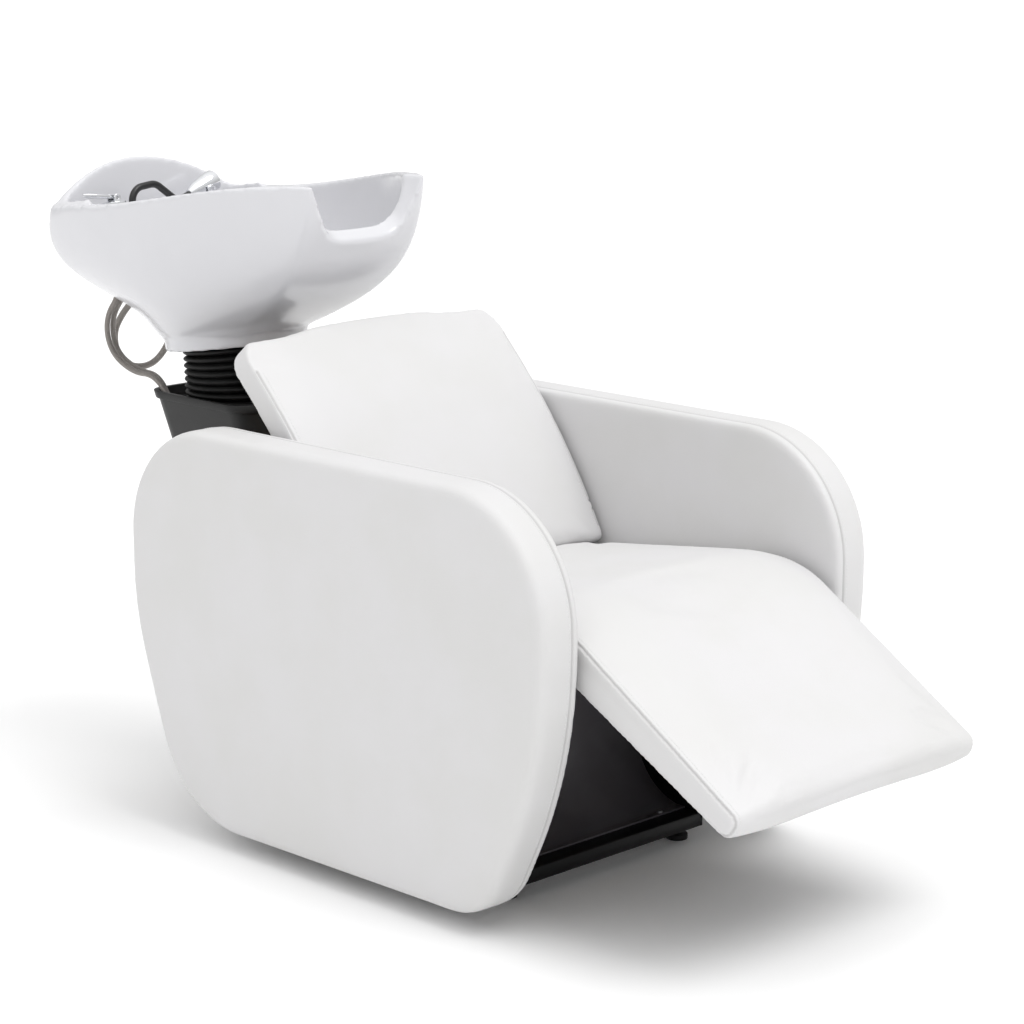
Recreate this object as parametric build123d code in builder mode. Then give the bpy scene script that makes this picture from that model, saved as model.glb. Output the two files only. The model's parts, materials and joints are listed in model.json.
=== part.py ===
"""Hair washing bed: armchair with a hinged leg rest and a tilting ceramic wash basin.

Millimetres. +Z is up, the sitter faces -Y, and the origin is on the floor at the
middle of the four feet. Left and right are the sitter's own, so left is +X.
"""
from build123d import *
import math
import os

os.makedirs("parts", exist_ok=True)

# Whole unit
arm_gap = 552.0             # clear width between the two arms
arm_thickness = 78.0
arm_length = 905.0
arm_top = 652.0             # height of the arm's top edge
arm_bottom = 26.0           # height of the arm's lower edge
arm_front = -517.0          # y of the arm's front edge
inner_pad_thickness = 17.0  # part of the arm inside the seam
overrun = 2.0               # how far a cutting solid passes a face
play = 0.3                  # gap between a soft solid and what it rests on

# Arm outline
arm_front_top_radius = 190.0
arm_rear_top_radius = 180.0
arm_rear_bottom_radius = 190.0
arm_front_bottom_radius = 110.0
arm_front_bend_share = 0.86     # of the room between the corners, taken by each bend
arm_rear_bend_share = 0.65
arm_front_bend_height = 275.0   # where the front edge starts to run in towards the floor
arm_rear_bend_height = 345.0
arm_front_setback = 121.0       # how far the front edge has run in at the bottom
arm_rear_setback = 110.0
arm_outer_rounding = 30.0
arm_inner_rounding = 7.0
arm_seam_rounding = 3.0
arm_board_thickness = 18.0
arm_board_inset = 46.0
standoff_radius = 9.0
standoff_hole_gap = 1.0
arm_bolt_radius = 4.0
arm_bolt_head_radius = 8.0
arm_bolt_head_height = 4.0
arm_bolt_grip = 14.0            # depth of the bolt in the arm board
arm_bolt_clearance = 0.4
arm_bolt_front_y = -150.0
arm_bolt_rear_y = 160.0
arm_bolt_low_z = 120.0
arm_bolt_high_z = 310.0

# Base frame
frame_width = 400.0
frame_half_length = 319.0
rail_height = 22.0
rail_width = 40.0
beam_depth = 60.0
tube_wall = 2.5
side_plate_thickness = 4.0
side_plate_rear = 262.0         # y of the side plate's rear edge
window_length = 150.0
window_height = 120.0
window_corner = 25.0
window_y = -20.0
window_z = 210.0
crossbar_size = 30.0
crossbar_front_along = 150.0    # distance of each bar behind the knee, along the seat
crossbar_rear_along = 395.0
foot_pitch_x = 376.0
foot_pitch_y = 560.0
foot_pad_radius = 17.0
foot_pad_height = 9.0
foot_stud_radius = 5.0
foot_stud_reach = 14.0          # of the stud into the beam
foot_nut_radius = 9.0
foot_nut_height = 6.0
hole_clearance = 0.3
frame_screw_radius = 3.0
frame_screw_head_radius = 5.5
frame_screw_head_height = 2.5
frame_screw_pitch = 150.0
frame_screw_count = 4

# Front cover under the seat
cover_thickness = 3.0
cover_radius = 108.0
cover_start_angle = 12.0        # slope of the cover where it leaves the beam, degrees
cover_top = 350.0
cover_gap = 1.0                 # gap between the cover and a side plate
cover_setback = 50.0            # of the curve's lower end behind the beam's face
cover_lip = 18.0                # flat strip on the beam, in front of the curve
cover_screw_pitch = 300.0
cover_screw_radius = 2.5
cover_screw_head_radius = 4.5
cover_screw_head_height = 2.0

# Seat and leg rest, along the cushion's top line seen from the side
knee_y = -455.0                 # where the seat line and the leg line meet
knee_z = 477.5
seat_rise = 7.2                 # degrees, up towards the knee
leg_fall = 32.5                 # degrees, down towards the toes
cushion_width = 534.0
cushion_edge_band = 28.0        # width of the rounded band along each side
cushion_side_drop = 9.0
cushion_side_inset = 4.0
cushion_crown = 5.0
cushion_corner = 16.0
cushion_joint_corner = 1.5
cushion_joint_gap = 0.6
seat_pad_thickness = 74.0
leg_pad_knee_thickness = 68.0
leg_pad_tip_thickness = 48.0
leg_length = 410.0              # from the knee point to the tip, along the slope
seat_length = 430.0             # from the knee point to the seat's rear end
knee_half_length = 72.0         # flexible stretch each side of the knee point
knee_radius = 185.0
seat_board_thickness = 15.0
leg_board_thickness = 12.0
board_inset = 16.0
under_panel_thickness = 3.0
hinge_depth = 95.0              # of the hinge axis below the knee point
hinge_pin_radius = 6.0
hinge_pin_clearance = 0.05
hinge_plate = 5.0
hinge_x = 150.0
hinge_eye_radius = 15.0
hinge_arm_radius = 7.0
hinge_arm_reach = 62.0          # of a bracket past the end of the flexible stretch
hinge_flange_width = 26.0
hinge_washer = 1.5
hinge_washer_gap = 0.1
hinge_head_radius = 9.0
hinge_head_height = 4.0

# Backrest, as an arc of its front face seen from the side
back_foot_y = -46.0
back_foot_z = 441.0
back_middle_y = 58.0
back_middle_z = 608.0
back_head_y = 218.6
back_head_z = 780.5
back_width = 540.0
back_thickness = 46.0
back_edge_band = 30.0
back_side_drop = 3.0
back_crown = 8.0
back_top_dip = 16.0
back_corner = 12.0
back_head_corner = 60.0
back_board_thickness = 12.0
back_board_inset = 24.0
back_bracket_width = 38.0
back_bracket_plate = 5.0
back_bracket_arm = 12.0         # corner radius of the bracket behind the backrest
back_bracket_foot = 16.0        # corner radius round each bolt
back_flange_start = 50.0        # along the backrest from its lower end
back_flange_end = 200.0
back_bolt_front_y = 50.0
back_bolt_rear_y = 100.0
back_bolt_z = 300.0
back_bolt_radius = 4.0
back_bolt_head_radius = 8.0
back_bolt_head_height = 5.0

# Column behind the backrest
column_foot_y = 295.0
column_head_y = 545.0
column_depth = 70.0
column_width = 100.0
column_wall = 4.0
foot_plate_thickness = 8.0
foot_plate_width = 220.0
foot_plate_front = 190.0
foot_plate_rear = 392.0
plate_bolt_front_y = 202.0
plate_bolt_rear_y = 289.0
plate_bolt_half_pitch = 98.0
plate_bolt_radius = 5.0
plate_bolt_head_radius = 9.0
plate_bolt_head_height = 6.0
head_plate_z = 612.0            # top face
head_plate_thickness = 12.0
head_plate_radius = 95.0
pivot_y = 533.0
pivot_z = 668.0
tilt = 8.0                      # degrees, basin front up
shroud_foot_y = 306.0
shroud_foot_length = 168.0
shroud_foot_width = 172.0
shroud_head_z = 630.0
shroud_head_y = 530.0
shroud_head_length = 236.0
shroud_head_width = 204.0
shroud_corner = 34.0
shroud_wall = 3.5
shroud_lip = 5.0
shroud_lip_height = 12.0
bellows_radius = 92.0
bellows_valley = 82.0
bellows_bore = 75.0
bellows_folds = 6
bellows_end_gap = 0.3
bellows_fold_shares = (0.1, 0.4, 0.6, 0.9)  # of a fold's height, at its four circles
yoke_plate = 8.0
yoke_half_gap = 16.0            # of the yoke cheeks' inner faces from the middle
yoke_half_depth = 20.0
yoke_base_half_width = 43.0
yoke_base_half_depth = 26.0
yoke_bolt_half_x = 34.0
yoke_bolt_half_y = 16.0
yoke_bolt_radius = 4.0
yoke_bolt_head_radius = 7.0
yoke_bolt_head_height = 5.0
tilt_pin_radius = 8.0
tilt_pin_head_radius = 12.0
tilt_pin_head_height = 5.0
tilt_lug_plate = 8.0
tilt_gap = 0.4
cradle_radius = 103.6
cradle_bolt_half_x = 52.0
cradle_bolt_half_v = 32.0
cradle_bolt_radius = 4.0
cradle_bolt_head_radius = 7.0
cradle_bolt_head_height = 4.0
cradle_bolt_grip = 8.0          # depth of the bolt in the ceramic foot
cradle_z = 40.0                 # above the pivot, square to the basin's foot
cradle_thickness = 10.0

# Ceramic basin, in its own tilted axes: v runs to the rear and w up from the pivot
basin_length_front = 387.0      # from the pivot's line to the front of the rim
basin_length_rear = 240.0
basin_half_width = 224.0
basin_height = 380.0            # of the uncut wall above the pivot
basin_foot_radius = 118.0
basin_foot_w = 38.0
basin_foot_height = 22.0
basin_recess_radius = 104.0
basin_recess_depth = 12.0
rim_rear_w = 293.0
rim_sag_v = -40.0               # lowest place of the rim's side
rim_sag_w = 289.5
rim_crest_v = -240.0            # highest place of the rim's side, before it falls to the notch
rim_crest_w = 294.5
rim_front_w = 281.0
hump_w = 363.0
hump_half_width = 188.0
hump_runout = 50.0              # radius where the hump runs out into the rim
deck_v = 112.0                  # front edge of the tap deck
deck_w = 246.0
deck_thickness = 12.0
deck_half_width = 178.0
deck_front_v = 60.0             # where the deck's cavity starts inside the bowl's own cavity
deck_side_v = 188.0
deck_rear_v = 212.0
deck_corner = 28.0
notch_half_width = 68.0
notch_top_half_width = 122.0
notch_top_w = 298.0
notch_w = 212.0                 # bottom of the notch at the wall's inner face
notch_v = -325.0
notch_fall_share = 0.9          # of the notch's bottom, down per length to the front
notch_radius = 58.0
notch_shoulder_radius = 6.0
notch_reach = 60.0              # of the notch's cut before and behind the wall
pocket_front_v = 138.0
pocket_rear_v = 176.0
pocket_half_width = 118.0
pocket_bottom_w = 80.0
bowl_front_corner = 26.0
bowl_rear_corner = 20.0
# Walls, row by row upwards. Shares of the height, of the half width for x, and of the
# front or rear length for v: height, front corner x and v, front v, side x and v,
# rear corner x and v, rear v. A negative v is a share of the front length.
bowl_outer_shares = (
    (0.147, 0.286, -0.227, -0.289, 0.500, -0.013, 0.402, 0.258, 0.467),
    (0.242, 0.446, -0.491, -0.525, 0.679, -0.052, 0.469, 0.408, 0.533),
    (0.395, 0.527, -0.755, -0.791, 0.862, -0.103, 0.679, 0.633, 0.738),
    (0.558, 0.554, -0.873, -0.912, 0.951, -0.116, 0.866, 0.846, 0.960),
    (0.750, 0.540, -0.946, -0.984, 0.991, -0.116, 0.879, 0.871, 0.988),
    (1.000, 0.527, -0.959, -1.000, 1.000, -0.116, 0.888, 0.883, 1.000),
)
bowl_inner_shares = (
    (0.184, 0.179, -0.181, -0.217, 0.357, -0.026, 0.268, 0.208, 0.317),
    (0.279, 0.348, -0.413, -0.444, 0.554, -0.052, 0.393, 0.300, 0.367),
    (0.434, 0.438, -0.693, -0.724, 0.750, -0.103, 0.571, 0.383, 0.433),
    (0.632, 0.464, -0.822, -0.855, 0.866, -0.116, 0.705, 0.417, 0.463),
    (1.026, 0.464, -0.879, -0.915, 0.906, -0.116, 0.786, 0.425, 0.467),
)

# Waste, inside the bellows and the column's cover
drain_v = -50.0
drain_flange_radius = 32.0
drain_flange = 3.0
drain_tail_radius = 17.0
drain_wall = 3.0
drain_tail_w = -12.0            # lower end of the tail
drain_hole_gap = 1.0
drain_nut_radius = 30.0
drain_nut_height = 8.0
drain_nut_gap = 4.0
strainer_radius = 26.0
strainer_thickness = 1.5
strainer_spigot = 5.0
strainer_hole_radius = 2.5
strainer_ring_radius = 8.5
strainer_holes = 8
coupler_wall = 3.0
coupler_overlap = 12.0
waste_radius = 16.0
waste_wall = 2.0
waste_top_z = 628.0
waste_y = 481.0                 # of the upright stretch through the head plate
waste_bend_z = 588.0
waste_foot_y = 264.0
waste_foot_z = 110.0
waste_bend_radius = 48.0
waste_hole_gap = 1.0
waste_outlet_radius = 20.0      # opening in the foot plate for the floor connection
waste_outlet_y = 240.0

# Taps on the basin's deck; u is the sideways place, positive to the sitter's left
tap_v = 157.0
tap_gap = 0.3                   # of a tap's tail in its hole in the deck
mixer_u = -100.0
mixer_radius = 20.0
mixer_height = 37.0
mixer_tail_radius = 12.0
mixer_tail = 46.0               # below the deck's top
mixer_nut_radius = 17.0
mixer_nut_height = 8.0
cap_gap = 0.2
cap_height = 8.0
ear_gap = 0.3
ear_thickness = 4.0
ear_radius = 6.5
ear_height = 14.5               # of the lever's pin above the mixer's body
lever_barrel = 6.0
lever_waist = 9.0               # from the pin to where the leaf widens
lever_half_width = 7.5
lever_pin_radius = 2.5
lever_reach = 64.0
lever_leaf_half_width = 13.0
lever_thickness = 6.0
lever_rise = 8.0                # degrees, up towards the leaf's tip
tee_radius = 16.0
tee_height = 17.0
tee_gap = 0.05
tee_branch_radius = 5.0
tee_branch_u = -20.0
tee_branch_v = 144.5
tee_outlet_radius = 6.5
tee_outlet_w = 186.0            # lower end of the outlet
grommet_u = -62.0
grommet_radius = 15.0
grommet_height = 5.0
grommet_tail_radius = 10.5
grommet_tail = 20.0
handset_tube_radius = 6.0
handset_stub_w = 186.0          # lower end of the handset's tail
handset_gap = 0.1
handset_rise_w = 309.0          # the tube's arch over the deck: rise, crest, dip, neck
handset_crest_u = -10.0
handset_crest_w = 315.0
handset_dip_u = 33.0
handset_dip_w = 281.0
handset_neck_u = 59.0
handset_neck_w = 290.5
handset_bend_radius = 26.0
head_length = 60.0
head_neck_radius = 8.0
head_body_radius = 14.0
head_face_radius = 18.0
head_face_length = 16.0
holder_u = 92.0
holder_radius = 9.0
holder_fork_radius = 18.0
holder_fork_wall = 4.0
holder_fork_width = 12.0
holder_base_radius = 14.0
holder_base_height = 4.0

# Hoses. Each route is chosen by hand, from the deck downwards
supply_hose_radius = 4.5
shower_hose_radius = 5.5
bend_share = 0.45               # of the shorter run, taken by an arc
supply_route_far = ((-94.0, 716.3, 844.1), (-94.0, 708.3, 787.0), (-96.0, 752.0, 738.0),
                    (-90.0, 748.0, 678.0), (-81.0, 698.0, 652.0), (-78.0, 648.0, 650.0),
                    (-80.0, 616.0, 608.0), (-64.0, 562.0, 572.0), (-64.0, 562.0, 516.0))
supply_route_near = ((-106.0, 716.3, 844.1), (-106.0, 708.3, 787.0), (-108.0, 752.0, 738.0),
                     (-102.0, 748.0, 680.0), (-94.0, 698.0, 650.0), (-88.0, 648.0, 652.0),
                     (-87.0, 606.0, 612.0), (-82.0, 554.0, 576.0), (-82.0, 554.0, 516.0))
shower_route = ((-62.0, 714.4, 830.3), (-62.0, 707.9, 784.2), (-70.0, 751.0, 746.0),
                (-76.0, 776.0, 702.0), (-66.0, 764.0, 652.0), (-20.0, 744.0, 644.0),
                (2.0, 716.0, 690.0), (-12.0, 702.0, 738.0), (-20.0, 695.6, 786.4),
                (-20.0, 702.0, 832.0))
union_radius = 8.0
union_height = 11.0
union_spigot_radius = 5.0
union_spigot = 14.0
hose_shelf_thickness = 5.0
hose_shelf_width = 40.0
hose_shelf_front = 520.0
hose_shelf_rear = 571.0

# Places worked out from the sizes
arm_inner_x = arm_gap / 2
seam_x = arm_inner_x + inner_pad_thickness
arm_outer_x = arm_inner_x + arm_thickness
arm_rear = arm_front + arm_length
rail_top = arm_bottom + rail_height
seat_slope = math.radians(seat_rise)
leg_slope = math.radians(leg_fall)
half_turn = (seat_slope + leg_slope) / 2
lean = (leg_slope - seat_slope) / 2
hinge_y = knee_y + hinge_depth * math.sin(lean)
hinge_z = knee_z - hinge_depth * math.cos(lean)
plate_outer_x = frame_width / 2 + side_plate_thickness
arm_bolt_spots = [(y, z) for y in (arm_bolt_front_y, arm_bolt_rear_y)
                  for z in (arm_bolt_low_z, arm_bolt_high_z)]
back_bolt_spots = ((back_bolt_front_y, back_bolt_z), (back_bolt_rear_y, back_bolt_z))
plate_bolt_spots = [(x, y) for x in (-plate_bolt_half_pitch, plate_bolt_half_pitch)
                    for y in (plate_bolt_front_y, plate_bolt_rear_y)]
cover_y = cover_setback - frame_half_length
cover_screw_spots = [(x, cover_y - cover_lip / 2)
                     for x in (-cover_screw_pitch / 2, cover_screw_pitch / 2)]
back_foot = (back_foot_y, back_foot_z)
back_middle = (back_middle_y, back_middle_z)
back_head = (back_head_y, back_head_z)
frame_screw_ys = [frame_screw_pitch * (place - (frame_screw_count - 1) / 2)
                  for place in range(frame_screw_count)]


def seat_point(along, drop):
    """(y, z) of a point behind the knee along the seat line, and below that line."""
    return (knee_y + along * math.cos(seat_slope) - drop * math.sin(seat_slope),
            knee_z - along * math.sin(seat_slope) - drop * math.cos(seat_slope))


def leg_point(along, drop):
    """(y, z) of a point in front of the knee along the leg line, and below that line."""
    return (knee_y - along * math.cos(leg_slope) + drop * math.sin(leg_slope),
            knee_z - along * math.sin(leg_slope) - drop * math.cos(leg_slope))


seat_plane = Plane(origin=(0, knee_y, knee_z), x_dir=(1, 0, 0),
                   z_dir=(0, math.sin(seat_slope), math.cos(seat_slope)))
under_start = leg_point(knee_half_length, leg_pad_knee_thickness)
under_end = leg_point(leg_length, leg_pad_tip_thickness)
under_length = math.dist(under_start, under_end)
under_cos = (under_start[0] - under_end[0]) / under_length
under_sin = (under_start[1] - under_end[1]) / under_length
leg_under_plane = Plane(origin=(0, *under_start), x_dir=(1, 0, 0),
                        z_dir=(0, -under_sin, under_cos))
tilt_sin = math.sin(math.radians(tilt))
tilt_cos = math.cos(math.radians(tilt))
basin_plane = Plane(origin=(0, pivot_y, pivot_z), x_dir=(1, 0, 0), z_dir=(0, tilt_sin, tilt_cos))


def write(piece, name):
    piece.label = name
    export_step(piece, f"parts/{name}.step")


def write_both(piece, name):
    """Write the left piece and its mirror image as one group of two solids."""
    with BuildPart() as group:
        add(piece)
        add(mirror(piece, about=Plane.YZ))
    write(group.part, name)


def write_pair(piece, name):
    """Write the left piece as it is, and its mirror image as the right one."""
    write(piece, name + "_left")
    write(mirror(piece, about=Plane.YZ), name + "_right")


def cross_bolts(spots, inner_x, outer_x, radius, head_radius, head_height):
    """Pairs of bolts along x, with a hexagon at each end, clamping inner_x to outer_x."""
    with BuildPart() as bolts:
        for x, length, ends in ((inner_x - head_height, head_height, True),
                                (inner_x, outer_x - inner_x, False), (outer_x, head_height, True)):
            with BuildSketch(Plane.YZ.offset(x)):
                with Locations(*spots):
                    if ends:
                        RegularPolygon(head_radius, 6)
                    else:
                        Circle(radius)
            extrude(amount=length)
        mirror(about=Plane.YZ)
    return bolts.part


# Arms
def bend_radius(height, setback, top_radius, bottom_radius, share):
    """Radius of an end's bend, from the room that the corners above and below leave."""
    drop = height - arm_bottom
    turn = math.atan(setback / drop)
    room_above = arm_top - height - top_radius
    room_below = math.hypot(setback, drop) - bottom_radius * math.tan((math.pi / 2 - turn) / 2)
    return share * min(room_above, room_below) / math.tan(turn / 2)


def arm_outline():
    front_foot = arm_front + arm_front_setback
    rear_foot = arm_rear - arm_rear_setback
    corners = ((arm_front, arm_top), (arm_front, arm_front_bend_height), (front_foot, arm_bottom),
               (rear_foot, arm_bottom), (arm_rear, arm_rear_bend_height), (arm_rear, arm_top))
    front_bend = bend_radius(arm_front_bend_height, arm_front_setback, arm_front_top_radius,
                             arm_front_bottom_radius, arm_front_bend_share)
    rear_bend = bend_radius(arm_rear_bend_height, arm_rear_setback, arm_rear_top_radius,
                            arm_rear_bottom_radius, arm_rear_bend_share)
    radii = (arm_front_top_radius, front_bend, arm_front_bottom_radius,
             arm_rear_bottom_radius, rear_bend, arm_rear_top_radius)
    return FilletPolyline(*corners, radius=radii, close=True)


with BuildPart() as arm_outer_pad:
    with BuildSketch(Plane.YZ.offset(seam_x)):
        with BuildLine():
            arm_outline()
        make_face()
    extrude(amount=arm_outer_x - seam_x)
    fillet(arm_outer_pad.faces().sort_by(Axis.X)[-1].edges(), arm_outer_rounding)
    fillet(arm_outer_pad.faces().sort_by(Axis.X)[0].edges(), arm_seam_rounding)
    with BuildSketch(Plane.YZ.offset(seam_x)):
        with BuildLine():
            arm_outline()
        make_face()
        offset(amount=-(arm_board_inset - play), mode=Mode.REPLACE)
    extrude(amount=arm_board_thickness + play, mode=Mode.SUBTRACT)
write_pair(arm_outer_pad.part, "arm_outer_pad")

with BuildPart() as arm_inner_pad:
    with BuildSketch(Plane.YZ.offset(arm_inner_x)):
        with BuildLine():
            arm_outline()
        make_face()
    extrude(amount=inner_pad_thickness - play)
    fillet(arm_inner_pad.faces().sort_by(Axis.X)[-1].edges(), arm_seam_rounding)
    fillet(arm_inner_pad.faces().sort_by(Axis.X)[0].edges(), arm_inner_rounding)
    with BuildSketch(Plane.YZ.offset(arm_inner_x - overrun)):
        with Locations(*arm_bolt_spots):
            Circle(standoff_radius + standoff_hole_gap)
    extrude(amount=inner_pad_thickness + 2 * overrun, mode=Mode.SUBTRACT)
write_pair(arm_inner_pad.part, "arm_inner_pad")

with BuildPart() as arm_board:
    with BuildSketch(Plane.YZ.offset(seam_x)):
        with BuildLine():
            arm_outline()
        make_face()
        offset(amount=-arm_board_inset, mode=Mode.REPLACE)
    extrude(amount=arm_board_thickness)
    with BuildSketch(Plane.YZ.offset(seam_x)):
        with Locations(*arm_bolt_spots):
            Circle(arm_bolt_radius + arm_bolt_clearance)
    extrude(amount=arm_bolt_grip + arm_bolt_clearance, mode=Mode.SUBTRACT)
write_both(arm_board.part, "arm_boards")

with BuildPart() as arm_standoffs:
    with BuildSketch(Plane.YZ.offset(plate_outer_x)):
        with Locations(*arm_bolt_spots):
            Circle(standoff_radius)
            Circle(arm_bolt_radius + arm_bolt_clearance, mode=Mode.SUBTRACT)
    extrude(amount=seam_x - plate_outer_x)
    mirror(about=Plane.YZ)
write(arm_standoffs.part, "arm_standoffs")

with BuildPart() as arm_bolts:
    with BuildSketch(Plane.YZ.offset(frame_width / 2 - arm_bolt_head_height)):
        with Locations(*arm_bolt_spots):
            Circle(arm_bolt_head_radius)
    extrude(amount=arm_bolt_head_height)
    with BuildSketch(Plane.YZ.offset(frame_width / 2)):
        with Locations(*arm_bolt_spots):
            Circle(arm_bolt_radius)
    extrude(amount=seam_x + arm_bolt_grip - frame_width / 2)
    mirror(about=Plane.YZ)
write(arm_bolts.part, "arm_bolts")


# Base frame
foot_spots = GridLocations(foot_pitch_x, foot_pitch_y, 2, 2)
beam_middle_y = frame_half_length - beam_depth / 2


def cross_beam(y, top_spots, top_radius):
    """Tube across the frame, with foot holes below and screw holes in its top wall."""
    with BuildPart() as beam:
        with BuildSketch(Plane.YZ.offset(-frame_width / 2)):
            with Locations((y, arm_bottom + rail_height / 2)):
                Rectangle(beam_depth, rail_height)
                Rectangle(beam_depth - 2 * tube_wall, rail_height - 2 * tube_wall,
                          mode=Mode.SUBTRACT)
        extrude(amount=frame_width)
        with BuildSketch(Plane.XY.offset(arm_bottom - overrun)):
            with foot_spots:
                Circle(foot_stud_radius + hole_clearance)
        extrude(amount=tube_wall + 2 * overrun, mode=Mode.SUBTRACT)
        with BuildSketch(Plane.XY.offset(rail_top - tube_wall - overrun)):
            with Locations(*top_spots):
                Circle(top_radius + hole_clearance)
        extrude(amount=tube_wall + 2 * overrun, mode=Mode.SUBTRACT)
    return beam.part


with BuildPart() as end_beams:
    add(cross_beam(-beam_middle_y, cover_screw_spots, cover_screw_radius))
    add(cross_beam(beam_middle_y, plate_bolt_spots, plate_bolt_radius))
write(end_beams.part, "end_beams")

rail_half_length = frame_half_length - beam_depth
frame_screw_z = arm_bottom + rail_height / 2
frame_screw_spots = [(y, frame_screw_z) for y in frame_screw_ys]
with BuildPart() as side_rail:
    with BuildSketch(Plane.XZ.offset(-rail_half_length)):
        with Locations((frame_width / 2 - rail_width / 2, arm_bottom + rail_height / 2)):
            Rectangle(rail_width, rail_height)
            Rectangle(rail_width - 2 * tube_wall, rail_height - 2 * tube_wall,
                      mode=Mode.SUBTRACT)
    extrude(amount=2 * rail_half_length)
    with BuildSketch(Plane.YZ.offset(frame_width / 2 - 2 * tube_wall)):
        with Locations(*frame_screw_spots):
            Circle(frame_screw_radius + hole_clearance)
    extrude(amount=2 * tube_wall + overrun, mode=Mode.SUBTRACT)
write_both(side_rail.part, "side_rails")

with BuildPart() as levelling_feet:
    with BuildSketch():
        with foot_spots:
            Circle(foot_pad_radius)
    extrude(amount=foot_pad_height)
    with BuildSketch(Plane.XY.offset(foot_pad_height)):
        with foot_spots:
            Circle(foot_stud_radius)
    extrude(amount=arm_bottom + foot_stud_reach - foot_pad_height)
    with BuildSketch(Plane.XY.offset(arm_bottom - foot_nut_height)):
        with foot_spots:
            RegularPolygon(foot_nut_radius, 6)
    extrude(amount=foot_nut_height)
write(levelling_feet.part, "levelling_feet")

# Side plates stand outside the rails and carry the seat board
plate_front_along = ((-frame_half_length - knee_y) / math.cos(seat_slope)
                     + seat_pad_thickness * math.tan(seat_slope))
plate_top_front = seat_point(plate_front_along, seat_pad_thickness)
plate_top_rear = seat_point(seat_length, seat_pad_thickness)
with BuildPart() as side_plate:
    with BuildSketch(Plane.YZ.offset(frame_width / 2)):
        with BuildLine():
            Polyline((-frame_half_length, arm_bottom), plate_top_front, plate_top_rear,
                     (side_plate_rear, plate_top_rear[1]), (side_plate_rear, arm_bottom),
                     close=True)
        make_face()
        with Locations((window_y, window_z)):
            RectangleRounded(window_length, window_height, window_corner, mode=Mode.SUBTRACT)
        with Locations(*arm_bolt_spots):
            Circle(arm_bolt_radius + hole_clearance, mode=Mode.SUBTRACT)
        with Locations(*back_bolt_spots):
            Circle(back_bolt_radius + hole_clearance, mode=Mode.SUBTRACT)
        with Locations(*frame_screw_spots):
            Circle(frame_screw_radius + hole_clearance, mode=Mode.SUBTRACT)
    extrude(amount=side_plate_thickness)
write_both(side_plate.part, "side_plates")

with BuildPart() as frame_screws:
    with BuildSketch(Plane.YZ.offset(frame_width / 2 - tube_wall)):
        with Locations(*frame_screw_spots):
            Circle(frame_screw_radius)
    extrude(amount=tube_wall + side_plate_thickness)
    with BuildSketch(Plane.YZ.offset(plate_outer_x)):
        with Locations(*frame_screw_spots):
            Circle(frame_screw_head_radius)
    extrude(amount=frame_screw_head_height)
    mirror(about=Plane.YZ)
    with BuildSketch(Plane.XY.offset(rail_top - tube_wall)):
        with Locations(*cover_screw_spots):
            Circle(cover_screw_radius)
    extrude(amount=tube_wall + cover_thickness)
    with BuildSketch(Plane.XY.offset(rail_top + cover_thickness)):
        with Locations(*cover_screw_spots):
            Circle(cover_screw_head_radius)
    extrude(amount=cover_screw_head_height)
write(frame_screws.part, "frame_screws")

with BuildPart(seat_plane) as seat_crossbars:
    for along in (crossbar_front_along, crossbar_rear_along):
        with Locations((0, along, -seat_pad_thickness - crossbar_size / 2)):
            Box(frame_width, crossbar_size, crossbar_size)
write(seat_crossbars.part, "seat_crossbars")

# Curved cover from the front beam up to the seat
cover_half_width = frame_width / 2 - cover_gap
cover_start = math.radians(cover_start_angle)
cover_centre_y = cover_y - cover_radius * math.sin(cover_start)
cover_centre_z = rail_top + cover_thickness + cover_radius * math.cos(cover_start)


def cover_arc(radius):
    points = [(cover_centre_y + radius * math.sin(angle), cover_centre_z - radius * math.cos(angle))
              for angle in (cover_start, (cover_start + math.pi / 2) / 2, math.pi / 2)]
    ThreePointArc(*points)
    return points


with BuildPart() as front_cover:
    with BuildSketch(Plane.YZ.offset(-cover_half_width)):
        with BuildLine():
            near = cover_arc(cover_radius)
            far = cover_arc(cover_radius + cover_thickness)
            Polyline(near[0], (cover_y - cover_lip, near[0][1]), (cover_y - cover_lip, rail_top),
                     (far[0][0], rail_top), far[0])
            Polyline(near[2], (near[2][0], cover_top), (far[2][0], cover_top), far[2])
        make_face()
    extrude(amount=2 * cover_half_width)
    with BuildSketch(Plane.XY.offset(rail_top)):
        with Locations(*cover_screw_spots):
            Circle(cover_screw_radius + hole_clearance)
    extrude(amount=2 * cover_thickness, mode=Mode.SUBTRACT)
write(front_cover.part, "front_cover")


# Cushions: side outlines joined by a loft from one side of the seat to the other
def cushion(outline, width, band):
    """Loft outlines given as outline(place): 0 at the middle, 1 at the band, 2 at the side."""
    with BuildPart() as pad:
        for x, place in ((-width / 2, 2), (band - width / 2, 1), (0, 0),
                         (width / 2 - band, 1), (width / 2, 2)):
            with BuildSketch(Plane.YZ.offset(x)):
                with BuildLine():
                    corners, radii = outline(place)
                    FilletPolyline(*corners, radius=radii, close=True)
                make_face()
        loft()
    return pad.part


def top_drop(place):
    return (-cushion_crown, 0, cushion_side_drop)[place]


def side_inset(place):
    return (0, 0, cushion_side_inset)[place]


def seat_outline(place):
    top, inset = top_drop(place), side_inset(place)
    start_along = knee_half_length + cushion_joint_gap / 2
    under = seat_pad_thickness - play
    corners = (seat_point(start_along, top), seat_point(seat_length - inset, top),
               seat_point(seat_length - inset, under), seat_point(start_along, under))
    return corners, (cushion_joint_corner, cushion_corner, cushion_joint_corner,
                     cushion_joint_corner)


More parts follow.
